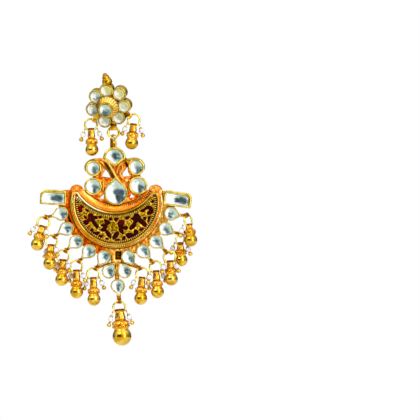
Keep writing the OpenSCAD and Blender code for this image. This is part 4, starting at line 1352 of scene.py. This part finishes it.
def gold_drop(i, body):
    length, k = DROPS[i - 1][4:]
    at = along_drop(i)
    back = at.inverted()
    neck = NECK_R * (k + 0.1 * (1 - k))
    top = math.sqrt((RING_R - RING_WIRE) ** 2 - neck ** 2) - 0.24

    def down(shape):
        """Each point's distance down the drop."""
        return [(back @ p).z for p in shape.v]

    ball = Shape(at)
    ways = (-39 + 129 * j / 24 for j in range(1, 24))
    ball.turn([(r * k, length + z * k) for r, z in BULB]
              + [polar(BALL_R * k, a, (0, length)) for a in ways] + [(0.0, length + BALL_R * k)], 56)
    ball.piece(f"gold_drop_{i}", DROP_GOLD, body, "drop_gold", [f"ball_drop_{i}"])

    # the fluted neck with its band at the top
    stem = Shape(at)
    low = length - 3.4 * k
    stem.turn([(0.0, top), (neck * 0.8, top), (neck * 0.98, top + 0.06), (neck * 1.04, top + 0.16),
               (neck * 1.04, top + 0.5), (neck * 0.92, top + 0.58), (neck * 0.93, 1.8), (neck * 0.98, 2.3),
               ((neck + 1.15 * k) / 2, (2.3 + low) / 2), (1.12 * k, low)], 72,
              wave=lambda a, j: 1 + (0.08 * math.cos(8 * a) if 5 < j < 9 else 0.0))
    stem.piece(f"drop_neck_{i}", NECK_GOLD, body, "drop_gold",
               shade=[0.2 if z < top + 0.55 else 0.62 for z in down(stem)])

    # the crown of leaves and granules between the neck and the ball
    crown = Shape(at)
    crown.turn([(r * k, length + z * k) for r, z in CROWN], 48)
    for j in range(LEAVES):
        a = 360 * j / LEAVES + 9
        b = a + 180 / LEAVES
        crown.bead((*polar(1.5 * k, a), length - 2.62 * k), 0.42 * k, (0.85, 1.02, 1.25), a)
        crown.bead((*polar(1.62 * k, b), length - 2.02 * k), 0.27 * k, (0.9, 1.3, 1.0), b)
    crown.piece(f"drop_collar_{i}", NECK_GOLD, body, "drop_gold",
                shade=[0.55 + 0.12 * math.sin(3 * z) for z in down(crown)])


PEARL_STEPS = 14
# radius and height of the cap above a pearl and of the cup under it
PEARL_CAP = [(0.16, 0.95), (0.3, 1.0), (0.5, 1.16), (0.6, 1.36), (0.5, 1.42)]
PEARL_FOOT = [(0.14, 2.62), (0.4, 2.68), (0.42, 2.8), (0.2, 2.95)]


def pearl_sets(indices, body, node):
    """The pearls of some drops: each on a wire, with a cap above it and a bead under it."""
    caps, pearls = Shape(), Shape()
    for i in indices:
        scale = DROPS[i - 1][5]
        k = math.sqrt(scale)
        for t in PEARL_TURNS[i - 1]:
            at = along_drop(i) @ rot("Z", t) @ move(1.8 + 0.67 * (scale - 1), 0, 1.1) @ rot("Y", 22)
            wire = [(0, 0, z) for z in (0.1, 1.2 * k, 2.4 * k, 3.6 * k)]
            caps.tube(wire, 0.12, at=at, up=(1, 0, 0))
            eye = [(0.22 * sind(a), 0.0, 0.12 - 0.22 * cosd(a)) for a in range(0, 360, 30)]
            caps.tube(eye, 0.09, closed=True, sides=6, at=at, up=(0, 1, 0))
            caps.turn([(r, z * k) for r, z in PEARL_CAP], 20, at)
            caps.bead((0, 0, 3.5 * k), 0.66, (1, 1, 0.95), at=at, fine=True)
            caps.turn([(r, z * k) for r, z in PEARL_FOOT], 16, at)
            ways = [math.pi * j / PEARL_STEPS for j in range(1, PEARL_STEPS)]
            profile = [(0.78 * math.sin(a) ** 0.75, 2.0 * k - 0.76 * math.cos(a)) for a in ways]
            pearls.turn([(0.0, 2.0 * k - 0.76)] + profile + [(0.0, 2.0 * k + 0.76)], 28, at)
    caps.piece(f"{node}_gold", DROP_GOLD, body, "drop_gold")
    pearls.piece(f"{node}_beads", PEARL, body, "pearl", [node])


for i in range(1, 14):
    body = "pendant" if i <= 11 else "ear_top"
    wire_ring(f"ring_wire_{i}", on_ring(i), RING_R, RING_WIRE, body, [f"jump_ring_{i}"], 80 + i)
    gold_drop(i, body)
pearl_sets(range(1, 12), "pendant", "pendant_pearls")
pearl_sets((12, 13), "ear_top", "flower_pearls")

# Carried-over CAD nodes
for node_name, material in (("pendant_frame", FRAME_GOLD), ("flower_setting", FLOWER_GOLD),
                            ("ear_post", DROP_GOLD)):
    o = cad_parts[node_name]
    o.data.materials.clear()
    o.data.materials.append(material)

# Stage, light and camera
FLOOR_C, FLOOR_R, FLOOR_Z, FLOOR_SIDES = (0.03, 0), 0.7, -0.16, 96  # in metres
floor = bpy.data.meshes.new("floor")
floor.from_pydata([(*polar(FLOOR_R, 360 * k / FLOOR_SIDES, FLOOR_C), FLOOR_Z) for k in range(FLOOR_SIDES)],
                  [], [tuple(range(FLOOR_SIDES))])
floor_o = bpy.data.objects.new("floor", floor)
bpy.context.scene.collection.objects.link(floor_o)
paint = Surface("pale_floor")
paint.set(Base_Color=paint.mix(paint.noise(3), srgb(246, 246, 244), srgb(250, 250, 249)), Roughness=0.8)
floor.materials.append(paint.mat)


def soft_box(name, position, size_x, size_y, radiance):
    light = bpy.data.lights.new(name, "AREA")
    light.shape = "RECTANGLE"
    light.size, light.size_y = size_x, size_y
    light.energy = radiance * math.pi * size_x * size_y
    o = bpy.data.objects.new(name, light)
    bpy.context.scene.collection.objects.link(o)
    o.location = position
    o.rotation_euler = (Vector((0.0, 0.0, -0.04)) - Vector(position)).to_track_quat("-Z", "Y").to_euler()


soft_box("right_strip", (0.44, -0.62, -0.02), 0.2, 0.8, 3.2)
soft_box("upper_left_key", (-0.42, -0.55, 0.45), 0.35, 0.35, 3.0)

# the studio round the object: bright in front and above, darker to both sides
studio = bpy.data.worlds.new("studio")
bpy.context.scene.world = studio
studio.use_nodes = True
w = Graph(studio.node_tree)
way = w.node("TexCoord", None, "Generated")
x, y, z = w.split("SeparateXYZ", way)


def patch(direction, outer, inner):
    """1 within the inner angle of a direction, 0 outside the outer one."""
    along = w.node("VectorMath", {0: way, 1: Vector(direction).normalized()}, "Value",
                   operation="DOT_PRODUCT")
    return w.between(along, cosd(outer), cosd(inner), smooth=True)


def step(value, low, high, to_low=0.0, to_high=1.0):
    return w.between(value, low, high, to_low, to_high, True)


level = step(y, 0.35, -0.35, 0.2, 0.84) + step(z, 0.1, 0.75, 0.0, 0.45) + step(z, -0.35, -0.8, 0.0, 0.1)
level = (level * (1.0 - patch((-0.52, -0.85, -0.04), 38, 22) * 0.92)
         * (1.0 - patch((0.95, -0.3, -0.2), 38, 12) * 0.45))
# a tall bright band to the right, seen as an upright streak on every ball
turn = x / w.math("MAXIMUM", w.math("SQRT", x * x + y * y), 0.01)
streak = step(turn, 0.46, 0.53) * step(turn, 0.68, 0.61) * step(y, -0.05, -0.15) * step(z, 0.9, 0.6)
WHITE = (1, 1, 1, 1)
seen = w.node("Background", {"Color": WHITE, "Strength": 1.0})
lit = w.node("Background", {"Color": WHITE, "Strength": level + streak * 4.5})
camera_ray = w.node("LightPath", None, "Is Camera Ray")
w.node("OutputWorld", {0: w.node("MixShader", {0: camera_ray, 1: lit, 2: seen})})

bpy.context.scene.view_settings.view_transform = "Standard"
bpy.context.scene.view_settings.look = "None"

SENSOR, CAMERA_DISTANCE, FIELD = 36, 1.3, 0.126  # the sensor in mm, the others in metres
cam = bpy.data.cameras.new("camera")
cam.sensor_width = SENSOR
cam.lens = SENSOR * CAMERA_DISTANCE / FIELD
cam.clip_start, cam.clip_end = 0.05, 10
camera = bpy.data.objects.new("camera", cam)
bpy.context.scene.collection.objects.link(camera)
camera.location = (0.02994, -CAMERA_DISTANCE, -0.03192)
camera.rotation_euler = (math.radians(90), 0, 0)
bpy.context.scene.camera = camera

bpy.context.view_layer.update()
